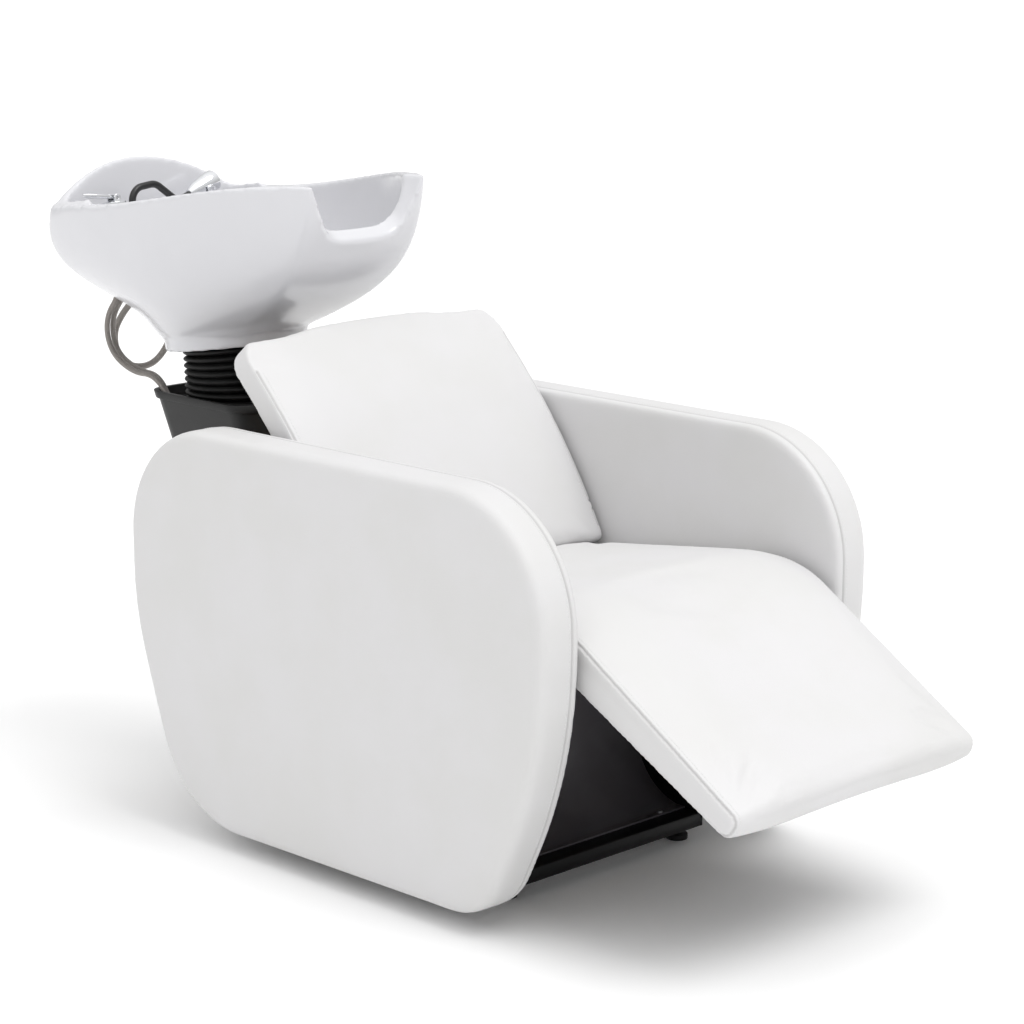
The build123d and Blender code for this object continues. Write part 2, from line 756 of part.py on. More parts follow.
def knee_outline(place):
    top = top_drop(place)
    reach = knee_half_length - cushion_joint_gap / 2
    knee_drop = top / math.cos(half_turn)
    corners = (seat_point(reach, top),
               (knee_y + knee_drop * math.sin(lean), knee_z - knee_drop * math.cos(lean)),
               leg_point(reach, top), leg_point(reach, leg_pad_knee_thickness - leg_board_thickness),
               seat_point(reach, seat_pad_thickness - seat_board_thickness))
    return corners, (cushion_joint_corner, knee_radius - top, cushion_joint_corner,
                     cushion_joint_corner, cushion_joint_corner)


def leg_outline(place):
    top, inset = top_drop(place), side_inset(place)
    start_along = knee_half_length + cushion_joint_gap / 2
    corners = (leg_point(start_along, top), leg_point(leg_length - inset, top),
               leg_point(leg_length - inset, leg_pad_tip_thickness),
               leg_point(start_along, leg_pad_knee_thickness))
    return corners, (cushion_joint_corner, cushion_corner, cushion_corner, cushion_joint_corner)


board_width = cushion_width - 2 * board_inset
seat_board_length = seat_length - knee_half_length - 2 * board_inset
seat_middle = (knee_half_length + seat_length) / 2
with BuildPart() as seat_cushion:
    add(cushion(seat_outline, cushion_width, cushion_edge_band))
    with BuildSketch(seat_plane.offset(-seat_pad_thickness - overrun)):
        with Locations((0, seat_middle)):
            Rectangle(board_width + 2 * play, seat_board_length + 2 * play)
    extrude(amount=overrun + seat_board_thickness + play, mode=Mode.SUBTRACT)
write(seat_cushion.part, "seat_cushion")

with BuildPart() as seat_board:
    with BuildSketch(seat_plane.offset(-seat_pad_thickness)):
        with Locations((0, seat_middle)):
            Rectangle(board_width, seat_board_length)
    extrude(amount=seat_board_thickness)
write(seat_board.part, "seat_board")

write(cushion(knee_outline, cushion_width, cushion_edge_band), "knee_cushion")

leg_board_length = under_length - 2 * board_inset
leg_pocket_depth = leg_board_thickness + under_panel_thickness
with BuildPart() as leg_cushion:
    add(cushion(leg_outline, cushion_width, cushion_edge_band))
    with BuildSketch(leg_under_plane.offset(-overrun)):
        with Locations((0, -under_length / 2)):
            Rectangle(board_width + 2 * play, leg_board_length + 2 * play)
    extrude(amount=overrun + leg_pocket_depth + play, mode=Mode.SUBTRACT)
write(leg_cushion.part, "leg_cushion")

with BuildPart() as leg_board:
    with BuildSketch(leg_under_plane.offset(under_panel_thickness)):
        with Locations((0, -under_length / 2)):
            Rectangle(board_width, leg_board_length)
    extrude(amount=leg_board_thickness)
write(leg_board.part, "leg_board")

with BuildPart() as leg_under_panel:
    with BuildSketch(leg_under_plane):
        with Locations((0, -under_length / 2)):
            Rectangle(board_width, leg_board_length)
    extrude(amount=under_panel_thickness)
write(leg_under_panel.part, "leg_under_panel")

# Hinge brackets under the two boards: an eye at the hinge, an arm and a flange
bracket_reach = knee_half_length + hinge_arm_reach
flange_middle = knee_half_length + board_inset + (bracket_reach - knee_half_length - board_inset) / 2
flange_length = bracket_reach - knee_half_length - board_inset
fixed_plate_x = hinge_x - hinge_plate
moving_plate_x = hinge_x + hinge_washer + 2 * hinge_washer_gap


def bracket(plate_x, flange_x, arm_spot, start_spot, plane, flange_y, flange_z):
    """Plate from plate_x outwards, with a flange from flange_x on a board's underside."""
    with BuildPart() as piece:
        with BuildSketch(Plane.YZ.offset(plate_x)):
            with Locations((hinge_y, hinge_z)):
                Circle(hinge_eye_radius)
            with Locations(arm_spot, start_spot):
                Circle(hinge_arm_radius)
            make_hull()
            with Locations((hinge_y, hinge_z)):
                Circle(hinge_pin_radius + hinge_pin_clearance, mode=Mode.SUBTRACT)
        extrude(amount=hinge_plate)
        with BuildSketch(plane.offset(flange_z - hinge_plate)):
            with Locations((flange_x + hinge_flange_width / 2, flange_y)):
                Rectangle(hinge_flange_width, flange_length)
        extrude(amount=hinge_plate)
    return piece.part


arm_depth = seat_pad_thickness + hinge_arm_radius
seat_bracket = bracket(fixed_plate_x, hinge_x - hinge_flange_width,
                       seat_point(bracket_reach - hinge_arm_radius, arm_depth),
                       seat_point(knee_half_length + board_inset + hinge_arm_radius, arm_depth),
                       seat_plane, flange_middle, -seat_pad_thickness)
write_both(seat_bracket, "seat_hinge_brackets")


def under_point(distance, drop):
    """(y, z) of a point along the leg rest's underside, and below it."""
    return (under_start[0] - distance * under_cos + drop * under_sin,
            under_start[1] - distance * under_sin - drop * under_cos)


leg_bracket = bracket(moving_plate_x, moving_plate_x,
                      under_point(board_inset + flange_length - hinge_arm_radius, hinge_arm_radius),
                      under_point(board_inset + hinge_arm_radius, hinge_arm_radius),
                      leg_under_plane, -(board_inset + flange_length / 2), 0)
write_both(leg_bracket, "leg_hinge_brackets")

write(cross_bolts(((hinge_y, hinge_z),), fixed_plate_x, moving_plate_x + hinge_plate + hinge_washer_gap,
                  hinge_pin_radius, hinge_head_radius, hinge_head_height), "hinge_pins")

with BuildPart() as hinge_washers:
    with BuildSketch(Plane.YZ.offset(hinge_x + hinge_washer_gap)):
        with Locations((hinge_y, hinge_z)):
            Circle(hinge_eye_radius)
            Circle(hinge_pin_radius + hinge_pin_clearance, mode=Mode.SUBTRACT)
    extrude(amount=hinge_washer)
    mirror(about=Plane.YZ)
write(hinge_washers.part, "hinge_washers")


# Backrest
def circle_centre(a, b, c):
    """Centre of the circle through three (y, z) points."""
    d = 2 * (a[0] * (b[1] - c[1]) + b[0] * (c[1] - a[1]) + c[0] * (a[1] - b[1]))
    sa, sb, sc = (p[0] ** 2 + p[1] ** 2 for p in (a, b, c))
    return ((sa * (b[1] - c[1]) + sb * (c[1] - a[1]) + sc * (a[1] - b[1])) / d,
            (sa * (c[0] - b[0]) + sb * (a[0] - c[0]) + sc * (b[0] - a[0])) / d)


back_centre = circle_centre(back_foot, back_middle, back_head)
back_radius = math.dist(back_centre, back_foot)
back_low = math.atan2(back_foot[1] - back_centre[1], back_foot[0] - back_centre[0])
back_high = math.atan2(back_head[1] - back_centre[1], back_head[0] - back_centre[0])


def back_point(angle, depth):
    """(y, z) on the backrest's arc, depth behind its front face."""
    radius = back_radius - depth
    return (back_centre[0] + radius * math.cos(angle), back_centre[1] + radius * math.sin(angle))


def back_strip(low, high, front, rear):
    """Closed outline of a curved strip, as four edges."""
    middle = (low + high) / 2
    ThreePointArc(back_point(low, front), back_point(middle, front), back_point(high, front))
    Line(back_point(high, front), back_point(high, rear))
    ThreePointArc(back_point(high, rear), back_point(middle, rear), back_point(low, rear))
    Line(back_point(low, rear), back_point(low, front))


def back_shift(length):
    """Angle that moves a point up the backrest by a length."""
    return math.copysign(length / back_radius, back_high - back_low)


with BuildPart() as backrest_cushion:
    for x, place in ((-back_width / 2, 2), (back_edge_band - back_width / 2, 1), (0, 0),
                     (back_width / 2 - back_edge_band, 1), (back_width / 2, 2)):
        front_depth = (-back_crown, 0, back_side_drop)[place]
        top_shift = (-back_top_dip, 0, -cushion_side_inset)[place]
        with BuildSketch(Plane.YZ.offset(x)) as back_section:
            with BuildLine():
                back_strip(back_low, back_high + back_shift(top_shift), front_depth, back_thickness)
            make_face()
            fillet(back_section.vertices(), back_corner)
    loft()
    back_rise = math.atan2(back_head[1] - back_foot[1], back_head[0] - back_foot[0])
    back_chord = math.dist(back_head, back_foot)
    chord_plane = Plane(origin=(0, *back_foot), x_dir=(1, 0, 0),
                        z_dir=(0, -math.sin(back_rise), math.cos(back_rise)))
    with BuildSketch(chord_plane.offset(-2 * back_thickness)) as back_outline:
        with Locations((0, back_chord + back_crown)):
            Rectangle(back_width, back_chord + 2 * back_thickness,
                      align=(Align.CENTER, Align.MAX))
        fillet(back_outline.vertices().group_by(Axis.Y)[-1], back_head_corner)
    extrude(amount=4 * back_thickness, mode=Mode.INTERSECT)
    with BuildSketch(Plane.YZ.offset(-back_width / 2 + back_board_inset - play)):
        with BuildLine():
            back_strip(back_low + back_shift(back_board_inset - play),
                       back_high - back_shift(back_head_corner - play),
                       back_thickness - back_board_thickness - play, back_thickness + overrun)
        make_face()
    extrude(amount=back_width - 2 * (back_board_inset - play), mode=Mode.SUBTRACT)
write(backrest_cushion.part, "backrest_cushion")

with BuildPart() as backrest_board:
    with BuildSketch(Plane.YZ.offset(-back_width / 2 + back_board_inset)):
        with BuildLine():
            back_strip(back_low + back_shift(back_board_inset),
                       back_high - back_shift(back_head_corner),
                       back_thickness - back_board_thickness, back_thickness)
        make_face()
    extrude(amount=back_width - 2 * back_board_inset)
write(backrest_board.part, "backrest_board")

back_bracket_head = back_thickness + back_bracket_arm
back_flange_low = back_low + back_shift(back_flange_start)
back_flange_high = back_low + back_shift(back_flange_end)
with BuildPart() as backrest_bracket:
    with BuildSketch(Plane.YZ.offset(plate_outer_x)):
        with Locations(back_point(back_flange_low + back_shift(back_bracket_arm), back_bracket_head),
                       back_point(back_flange_high - back_shift(back_bracket_arm), back_bracket_head)):
            Circle(back_bracket_arm)
        with Locations(*back_bolt_spots):
            Circle(back_bracket_foot)
        make_hull()
        with Locations(*back_bolt_spots):
            Circle(back_bolt_radius + hole_clearance, mode=Mode.SUBTRACT)
    extrude(amount=back_bracket_plate)
    with BuildSketch(Plane.YZ.offset(plate_outer_x)):
        with BuildLine():
            back_strip(back_flange_low, back_flange_high,
                       back_thickness, back_thickness + back_bracket_plate)
        make_face()
    extrude(amount=back_bracket_width)
write_both(backrest_bracket.part, "backrest_brackets")

write(cross_bolts(back_bolt_spots, frame_width / 2, plate_outer_x + back_bracket_plate,
                  back_bolt_radius, back_bolt_head_radius, back_bolt_head_height), "back_bolts")


# Column
foot_plate_top = rail_top + foot_plate_thickness
head_plate_under = head_plate_z - head_plate_thickness
rake = (column_head_y - column_foot_y) / (head_plate_under - foot_plate_top)
yoke_bolt_spots = [(x, pivot_y + y) for x in (-yoke_bolt_half_x, yoke_bolt_half_x)
                   for y in (-yoke_bolt_half_y, yoke_bolt_half_y)]

with BuildPart() as middle_beam:
    with BuildSketch(Plane.YZ.offset(rail_width - frame_width / 2)):
        with Locations((foot_plate_front + rail_width / 2, arm_bottom + rail_height / 2)):
            Rectangle(rail_width, rail_height)
            Rectangle(rail_width - 2 * tube_wall, rail_height - 2 * tube_wall, mode=Mode.SUBTRACT)
    extrude(amount=frame_width - 2 * rail_width)
    with BuildSketch(Plane.XY.offset(rail_top - 2 * tube_wall)):
        with Locations(*plate_bolt_spots):
            Circle(plate_bolt_radius + hole_clearance)
    extrude(amount=2 * tube_wall + overrun, mode=Mode.SUBTRACT)
write(middle_beam.part, "middle_beam")

with BuildPart() as foot_plate:
    with BuildSketch(Plane.XY.offset(rail_top)):
        with Locations((0, (foot_plate_front + foot_plate_rear) / 2)):
            Rectangle(foot_plate_width, foot_plate_rear - foot_plate_front)
        with Locations(*plate_bolt_spots):
            Circle(plate_bolt_radius + hole_clearance, mode=Mode.SUBTRACT)
        with Locations((0, waste_outlet_y)):
            Circle(waste_outlet_radius, mode=Mode.SUBTRACT)
    extrude(amount=foot_plate_thickness)
write(foot_plate.part, "foot_plate")

with BuildPart() as column_bolts:
    with BuildSketch(Plane.XY.offset(rail_top - tube_wall)):
        with Locations(*plate_bolt_spots):
            Circle(plate_bolt_radius)
    extrude(amount=tube_wall + foot_plate_thickness)
    with BuildSketch(Plane.XY.offset(foot_plate_top)):
        with Locations(*plate_bolt_spots):
            RegularPolygon(plate_bolt_head_radius, 6)
    extrude(amount=plate_bolt_head_height)
    with BuildSketch(Plane.XY.offset(head_plate_under)):
        with Locations(*yoke_bolt_spots):
            Circle(yoke_bolt_radius)
    extrude(amount=head_plate_thickness + yoke_plate)
    with BuildSketch(Plane.XY.offset(head_plate_z + yoke_plate)):
        with Locations(*yoke_bolt_spots):
            RegularPolygon(yoke_bolt_head_radius, 6)
    extrude(amount=yoke_bolt_head_height)
write(column_bolts.part, "column_bolts")


def post_outline(wall, beyond):
    """Side outline of the raked post, drawn in by a wall and drawn out past its ends."""
    half = column_depth / 2 - wall
    low = column_foot_y - rake * beyond
    high = column_head_y + rake * beyond
    Polyline((low - half, foot_plate_top - beyond), (low + half, foot_plate_top - beyond),
             (high + half, head_plate_under + beyond), (high - half, head_plate_under + beyond),
             close=True)


with BuildPart() as column_post:
    for wall, beyond, mode in ((0, 0, Mode.ADD), (column_wall, overrun, Mode.SUBTRACT)):
        with BuildSketch(Plane.YZ.offset(wall - column_width / 2)):
            with BuildLine():
                post_outline(wall, beyond)
            make_face()
        extrude(amount=column_width - 2 * wall, mode=mode)
write(column_post.part, "column_post")

with BuildPart() as head_plate:
    with BuildSketch(Plane.XY.offset(head_plate_under)):
        with Locations((0, pivot_y)):
            Circle(head_plate_radius)
        with Locations((0, waste_y)):
            Circle(waste_radius + waste_hole_gap, mode=Mode.SUBTRACT)
        with Locations(*yoke_bolt_spots):
            Circle(yoke_bolt_radius + hole_clearance, mode=Mode.SUBTRACT)
    extrude(amount=head_plate_thickness)
write(head_plate.part, "head_plate")

# Cover round the column, open at the top
shroud_foot_z = foot_plate_top


def shroud_outline(z, grow):
    share = (z - shroud_foot_z) / (shroud_head_z - shroud_foot_z)
    width = shroud_foot_width + share * (shroud_head_width - shroud_foot_width)
    length = shroud_foot_length + share * (shroud_head_length - shroud_foot_length)
    with Locations((0, shroud_foot_y + share * (shroud_head_y - shroud_foot_y))):
        RectangleRounded(width + 2 * grow, length + 2 * grow, shroud_corner + grow)


shroud_layers = ((shroud_foot_z, shroud_head_z, 0, Mode.ADD),
                 (shroud_head_z - shroud_lip_height, shroud_head_z, shroud_lip, Mode.ADD),
                 (shroud_foot_z - overrun, shroud_head_z + overrun, -shroud_wall, Mode.SUBTRACT))
with BuildPart() as column_shroud:
    for low, high, grow, mode in shroud_layers:
        for z in (low, high):
            with BuildSketch(Plane.XY.offset(z)):
                shroud_outline(z, grow)
        loft(mode=mode)
write(column_shroud.part, "column_shroud")

# Tilting head: a yoke on the head plate, a cradle under the basin and a pin
with BuildPart() as tilt_yoke:
    with BuildSketch(Plane.XY.offset(head_plate_z)):
        with Locations((0, pivot_y)):
            Rectangle(2 * yoke_base_half_width, 2 * yoke_base_half_depth)
        with Locations(*yoke_bolt_spots):
            Circle(yoke_bolt_radius + hole_clearance, mode=Mode.SUBTRACT)
    extrude(amount=yoke_plate)
    for x in (-yoke_half_gap - yoke_plate, yoke_half_gap):
        with BuildSketch(Plane.YZ.offset(x)):
            with Locations((pivot_y, (head_plate_z + pivot_z) / 2)):
                Rectangle(2 * yoke_half_depth, pivot_z - head_plate_z)
            with Locations((pivot_y, pivot_z)):
                Circle(yoke_half_depth)
                Circle(tilt_pin_radius + hinge_pin_clearance, mode=Mode.SUBTRACT)
        extrude(amount=yoke_plate)
write(tilt_yoke.part, "tilt_yoke")


def basin_point(v, w):
    """(y, z) of a place in the basin's own axes."""
    return (pivot_y + v * tilt_cos + w * tilt_sin, pivot_z - v * tilt_sin + w * tilt_cos)


lug_x = yoke_half_gap + yoke_plate + tilt_gap
cradle_bolt_spots = [(x, v) for x in (-cradle_bolt_half_x, cradle_bolt_half_x)
                     for v in (-cradle_bolt_half_v, cradle_bolt_half_v)]
with BuildPart() as basin_cradle:
    with BuildSketch(basin_plane.offset(cradle_z)):
        Circle(cradle_radius)
        with Locations((0, drain_v)):
            Circle(drain_nut_radius + drain_nut_gap, mode=Mode.SUBTRACT)
        with Locations(*cradle_bolt_spots):
            Circle(cradle_bolt_radius + hole_clearance, mode=Mode.SUBTRACT)
    extrude(amount=cradle_thickness)
    for x in (-lug_x - tilt_lug_plate, lug_x):
        with BuildSketch(Plane.YZ.offset(x)):
            with BuildLine():
                Polyline(basin_point(-yoke_half_depth, 0), basin_point(yoke_half_depth, 0),
                         basin_point(yoke_half_depth, cradle_z + cradle_thickness / 2),
                         basin_point(-yoke_half_depth, cradle_z + cradle_thickness / 2), close=True)
            make_face()
            with Locations((pivot_y, pivot_z)):
                Circle(yoke_half_depth)
                Circle(tilt_pin_radius + hinge_pin_clearance, mode=Mode.SUBTRACT)
        extrude(amount=tilt_lug_plate)
write(basin_cradle.part, "basin_cradle")

pin_half_length = lug_x + tilt_lug_plate + tilt_gap
with BuildPart() as tilt_pin:
    with BuildSketch(Plane.YZ.offset(-pin_half_length)):
        with Locations((pivot_y, pivot_z)):
            Circle(tilt_pin_radius)
    extrude(amount=2 * pin_half_length)
    for x in (-pin_half_length - tilt_pin_head_height, pin_half_length):
        with BuildSketch(Plane.YZ.offset(x)):
            with Locations((pivot_y, pivot_z)):
                Circle(tilt_pin_head_radius)
        extrude(amount=tilt_pin_head_height)
write(tilt_pin.part, "tilt_pin")

with BuildPart() as cradle_bolts:
    with BuildSketch(basin_plane.offset(cradle_z)):
        with Locations(*cradle_bolt_spots):
            Circle(cradle_bolt_radius)
    extrude(amount=cradle_thickness + cradle_bolt_grip)
    with BuildSketch(basin_plane.offset(cradle_z - cradle_bolt_head_height)):
        with Locations(*cradle_bolt_spots):
            RegularPolygon(cradle_bolt_head_radius, 6)
    extrude(amount=cradle_bolt_head_height)
write(cradle_bolts.part, "cradle_bolts")

# Bellows: its circles lean over step by step from the column to the basin
bellows_low = head_plate_z + bellows_end_gap
bellows_high_y, bellows_high_z = basin_point(0, cradle_z - bellows_end_gap)


def bellows_plane(share):
    turn = math.radians(tilt) * share
    return Plane(origin=(0, pivot_y + (bellows_high_y - pivot_y) * share ** 2,
                         bellows_low + (bellows_high_z - bellows_low) * share),
                 x_dir=(1, 0, 0), z_dir=(0, math.sin(turn), math.cos(turn)))


bellows_rings = [(0, bellows_valley)]
for fold in range(bellows_folds):
    for share, radius in zip(bellows_fold_shares, (bellows_valley, bellows_radius,
                                                   bellows_radius, bellows_valley)):
        bellows_rings.append(((fold + share) / bellows_folds, radius))
bellows_rings.append((1, bellows_valley))
bore_end_share = overrun / (bellows_high_z - bellows_low)
with BuildPart() as bellows:
    for share, radius in bellows_rings:
        with BuildSketch(bellows_plane(share)):
            Circle(radius)
    loft(ruled=True)
    for share in (-bore_end_share, 1 / 3, 2 / 3, 1 + bore_end_share):
        with BuildSketch(bellows_plane(share)):
            Circle(bellows_bore)
    loft(ruled=True, mode=Mode.SUBTRACT)
write(bellows.part, "bellows")


# Ceramic basin
def bowl_outline(row):
    """Closed outline of one row of shares, drawn in the basin's own axes."""
    def side(share):
        return share * basin_half_width

    def place(share):
        return share * (basin_length_front if share < 0 else basin_length_rear)

    front_x, front_v, front_end, half_width, side_v, rear_x, rear_v, rear_end = row
    front = (side(front_x), place(front_v))
    rear = (side(rear_x), place(rear_v))
    front_far = (-front[0], front[1])
    rear_far = (-rear[0], rear[1])
    ThreePointArc(front_far, (0, place(front_end)), front)
    ThreePointArc(front, (side(half_width), place(side_v)), rear)
    ThreePointArc(rear, (0, place(rear_end)), rear_far)
    ThreePointArc(rear_far, (-side(half_width), place(side_v)), front_far)


def at_height(share):
    return basin_plane.offset(share * basin_height)


rim_front_v = -basin_length_front - notch_reach
above = basin_height + notch_reach
basin_side_plane = Plane(origin=basin_plane.origin, x_dir=basin_plane.y_dir, z_dir=(1, 0, 0))
basin_front_plane = Plane(origin=basin_plane.origin, x_dir=(1, 0, 0), z_dir=-basin_plane.y_dir)


def notch_outline(v):
    """Neck notch at one place along the basin, open above."""
    bottom = notch_w + (v - notch_v) * notch_fall_share
    FilletPolyline((-notch_top_half_width, above), (-notch_top_half_width, notch_top_w),
                   (-notch_half_width, bottom), (notch_half_width, bottom),
                   (notch_top_half_width, notch_top_w), (notch_top_half_width, above),
                   radius=(notch_shoulder_radius, notch_radius, notch_radius,
                           notch_shoulder_radius), close=False)
    Line((-notch_top_half_width, above), (notch_top_half_width, above))


with BuildPart() as basin:
    for row in bowl_outer_shares:
        with BuildSketch(at_height(row[0])) as section:
            with BuildLine():
                bowl_outline(row[1:])
            make_face()
            fillet(section.vertices().sort_by(Axis.Y)[:2], bowl_front_corner)
            fillet(section.vertices().sort_by(Axis.Y)[-2:], bowl_rear_corner)
    loft()
    with BuildSketch(basin_plane.offset(basin_foot_w)):
        Circle(basin_foot_radius)
    extrude(amount=basin_foot_height)
    for row in bowl_inner_shares:
        with BuildSketch(at_height(row[0])) as section:
            with BuildLine():
                bowl_outline(row[1:])
            make_face()
            fillet(section.vertices().sort_by(Axis.Y)[:2], bowl_front_corner)
            fillet(section.vertices().sort_by(Axis.Y)[-2:], bowl_rear_corner)
    loft(mode=Mode.SUBTRACT)
    with BuildSketch(basin_plane.offset(deck_w)) as deck:
        with BuildLine():
            Polyline((-deck_half_width, deck_side_v), (-deck_half_width, deck_front_v),
                     (deck_half_width, deck_front_v), (deck_half_width, deck_side_v))
            ThreePointArc((deck_half_width, deck_side_v), (0, deck_rear_v),
                          (-deck_half_width, deck_side_v))
        make_face()
        fillet(deck.vertices().sort_by(Axis.Y)[-2:], deck_corner)
    extrude(amount=basin_height, mode=Mode.SUBTRACT)
    with BuildSketch(basin_side_plane.offset(-2 * basin_half_width)):
        with BuildLine():
            Spline((-basin_length_front, rim_front_w), (rim_crest_v, rim_crest_w),
                   (rim_sag_v, rim_sag_w), (deck_v, rim_rear_w))
            Polyline((deck_v, rim_rear_w), (deck_v, above), (rim_front_v, above),
                     (rim_front_v, rim_front_w), (-basin_length_front, rim_front_w))
        make_face()
    extrude(amount=4 * basin_half_width, mode=Mode.SUBTRACT)
    with BuildSketch(basin_front_plane.offset(-deck_v)) as hump_cut:
        with BuildLine():
            ThreePointArc((-hump_half_width, rim_rear_w), (0, hump_w), (hump_half_width, rim_rear_w))
            Polyline((hump_half_width, rim_rear_w), (2 * basin_half_width, rim_rear_w),
                     (2 * basin_half_width, above), (-2 * basin_half_width, above),
                     (-2 * basin_half_width, rim_rear_w), (-hump_half_width, rim_rear_w))
        make_face()
        fillet(hump_cut.vertices().sort_by_distance((0, rim_rear_w))[:2], hump_runout)
    extrude(amount=-2 * basin_length_rear, mode=Mode.SUBTRACT)
    for v in (notch_v + notch_reach, notch_v - 2 * notch_reach):
        with BuildSketch(basin_front_plane.offset(-v)):
            with BuildLine():
                notch_outline(v)
            make_face()
    loft(mode=Mode.SUBTRACT)
    with BuildSketch(basin_plane.offset(pocket_bottom_w)):
        with Locations((0, (pocket_front_v + pocket_rear_v) / 2)):
            Rectangle(2 * pocket_half_width, pocket_rear_v - pocket_front_v)
    extrude(amount=deck_w - deck_thickness - pocket_bottom_w, mode=Mode.SUBTRACT)
    with BuildSketch(basin_plane.offset(basin_foot_w)):
        Circle(basin_recess_radius)
    extrude(amount=basin_recess_depth, mode=Mode.SUBTRACT)
    with BuildSketch(basin_plane.offset(basin_foot_w)):
        with Locations((0, drain_v)):
            Circle(drain_tail_radius + drain_hole_gap)
    extrude(amount=basin_height / 2, mode=Mode.SUBTRACT)
    with BuildSketch(basin_plane.offset(basin_foot_w)):
        with Locations(*cradle_bolt_spots):
            Circle(cradle_bolt_radius + hole_clearance)
    extrude(amount=basin_recess_depth + cradle_bolt_grip + overrun, mode=Mode.SUBTRACT)
    with BuildSketch(basin_plane.offset(deck_w - deck_thickness - overrun)):
        with Locations((mixer_u, tap_v)):
            Circle(mixer_tail_radius + tap_gap)
        with Locations((grommet_u, tap_v)):
            Circle(grommet_tail_radius + tap_gap)
    extrude(amount=deck_thickness + 2 * overrun, mode=Mode.SUBTRACT)
write(basin.part, "basin")


# Waste under the basin
def floor_w():
    """Height of the bowl's floor, its lowest inner row."""
    return bowl_inner_shares[0][0] * basin_height


with BuildPart() as drain_body:
    with BuildSketch(basin_plane.offset(floor_w())):
        with Locations((0, drain_v)):
            Circle(drain_flange_radius)
    extrude(amount=drain_flange)
    with BuildSketch(basin_plane.offset(drain_tail_w)):
        with Locations((0, drain_v)):
            Circle(drain_tail_radius)
    extrude(amount=floor_w() - drain_tail_w)
    with BuildSketch(basin_plane.offset(drain_tail_w)):
        with Locations((0, drain_v)):
            Circle(drain_tail_radius - drain_wall)
    extrude(amount=floor_w() + drain_flange - drain_tail_w, mode=Mode.SUBTRACT)
write(drain_body.part, "drain_body")

with BuildPart() as drain_nut:
    with BuildSketch(basin_plane.offset(basin_foot_w + basin_recess_depth - drain_nut_height)):
        with Locations((0, drain_v)):
            RegularPolygon(drain_nut_radius, 6)
            Circle(drain_tail_radius + tee_gap, mode=Mode.SUBTRACT)
    extrude(amount=drain_nut_height)
write(drain_nut.part, "drain_nut")

with BuildPart() as drain_strainer:
    with BuildSketch(basin_plane.offset(floor_w() + drain_flange)):
        with Locations((0, drain_v)):
            Circle(strainer_radius)
            with PolarLocations(strainer_ring_radius, strainer_holes):
                Circle(strainer_hole_radius, mode=Mode.SUBTRACT)
    extrude(amount=strainer_thickness)
    with BuildSketch(basin_plane.offset(floor_w() + drain_flange - strainer_spigot)):
        with Locations((0, drain_v)):
            Circle(drain_tail_radius - drain_wall - tee_gap)
            Circle(strainer_ring_radius + strainer_hole_radius + play, mode=Mode.SUBTRACT)
    extrude(amount=strainer_spigot)
write(drain_strainer.part, "drain_strainer")

# Flexible sleeve from the basin's tail to the waste pipe
def tail_plane(w):
    return basin_plane.offset(w).shift_origin((0, *basin_point(drain_v, w)))


sleeve_rings = (
    (tail_plane(drain_tail_w + coupler_overlap), drain_tail_radius + play),
    (tail_plane(drain_tail_w - overrun), drain_tail_radius + play),
    (Plane(origin=(0, waste_y, waste_top_z + overrun)), waste_radius + play),
    (Plane(origin=(0, waste_y, waste_top_z - coupler_overlap)), waste_radius + play))
with BuildPart() as waste_coupler:
    for wall, mode in ((coupler_wall, Mode.ADD), (0, Mode.SUBTRACT)):
        for place, bore in sleeve_rings:
            with BuildSketch(place):
                Circle(bore + wall)
        loft(ruled=True, mode=mode)
write(waste_coupler.part, "waste_coupler")

with BuildPart() as waste_pipe:
    with BuildLine() as pipe_path:
        FilletPolyline((0, waste_y, waste_top_z), (0, waste_y, waste_bend_z),
                       (0, waste_foot_y, waste_foot_z), radius=waste_bend_radius)
    with BuildSketch(Plane.XY.offset(waste_top_z)):
        with Locations((0, waste_y)):
            Circle(waste_radius)
            Circle(waste_radius - waste_wall, mode=Mode.SUBTRACT)
    sweep(path=pipe_path.line)
write(waste_pipe.part, "waste_pipe")


# Taps
def deck_plane(u, w):
    """Plane square to the basin's axes, on the taps' line."""
    return basin_plane.offset(w).shift_origin((u, *basin_point(tap_v, w)))


mixer_top_w = deck_w + mixer_height
ear_w = mixer_top_w + ear_height
with BuildPart() as mixer_body:
    with BuildSketch(deck_plane(mixer_u, deck_w)):
        Circle(mixer_radius)
    extrude(amount=mixer_height)
    with BuildSketch(deck_plane(mixer_u, deck_w - mixer_tail)):
        Circle(mixer_tail_radius)
    extrude(amount=mixer_tail)
write(mixer_body.part, "mixer_body")

with BuildPart() as mixer_nut:
    with BuildSketch(deck_plane(mixer_u, deck_w - deck_thickness - mixer_nut_height)):
        RegularPolygon(mixer_nut_radius, 6)
        Circle(mixer_tail_radius + tee_gap, mode=Mode.SUBTRACT)
    extrude(amount=mixer_nut_height)
write(mixer_nut.part, "mixer_nut")

ear_offset = lever_half_width + ear_gap
mixer_side_plane = Plane(origin=(mixer_u, *basin_point(tap_v, ear_w)), x_dir=(1, 0, 0),
                         z_dir=(0, -tilt_cos, tilt_sin))
with BuildPart() as mixer_cap:
    with BuildSketch(deck_plane(mixer_u, mixer_top_w + cap_gap)):
        Circle(mixer_radius)
    extrude(amount=cap_height - cap_gap)
    for start in (ear_offset, -ear_offset - ear_thickness):
        with BuildSketch(mixer_side_plane.offset(start)):
            Circle(ear_radius)
            with Locations((0, (cap_height - ear_height) / 2)):
                Rectangle(2 * ear_radius, ear_height - cap_height)
            Circle(lever_pin_radius + tee_gap, mode=Mode.SUBTRACT)
        extrude(amount=ear_thickness)
write(mixer_cap.part, "mixer_cap")

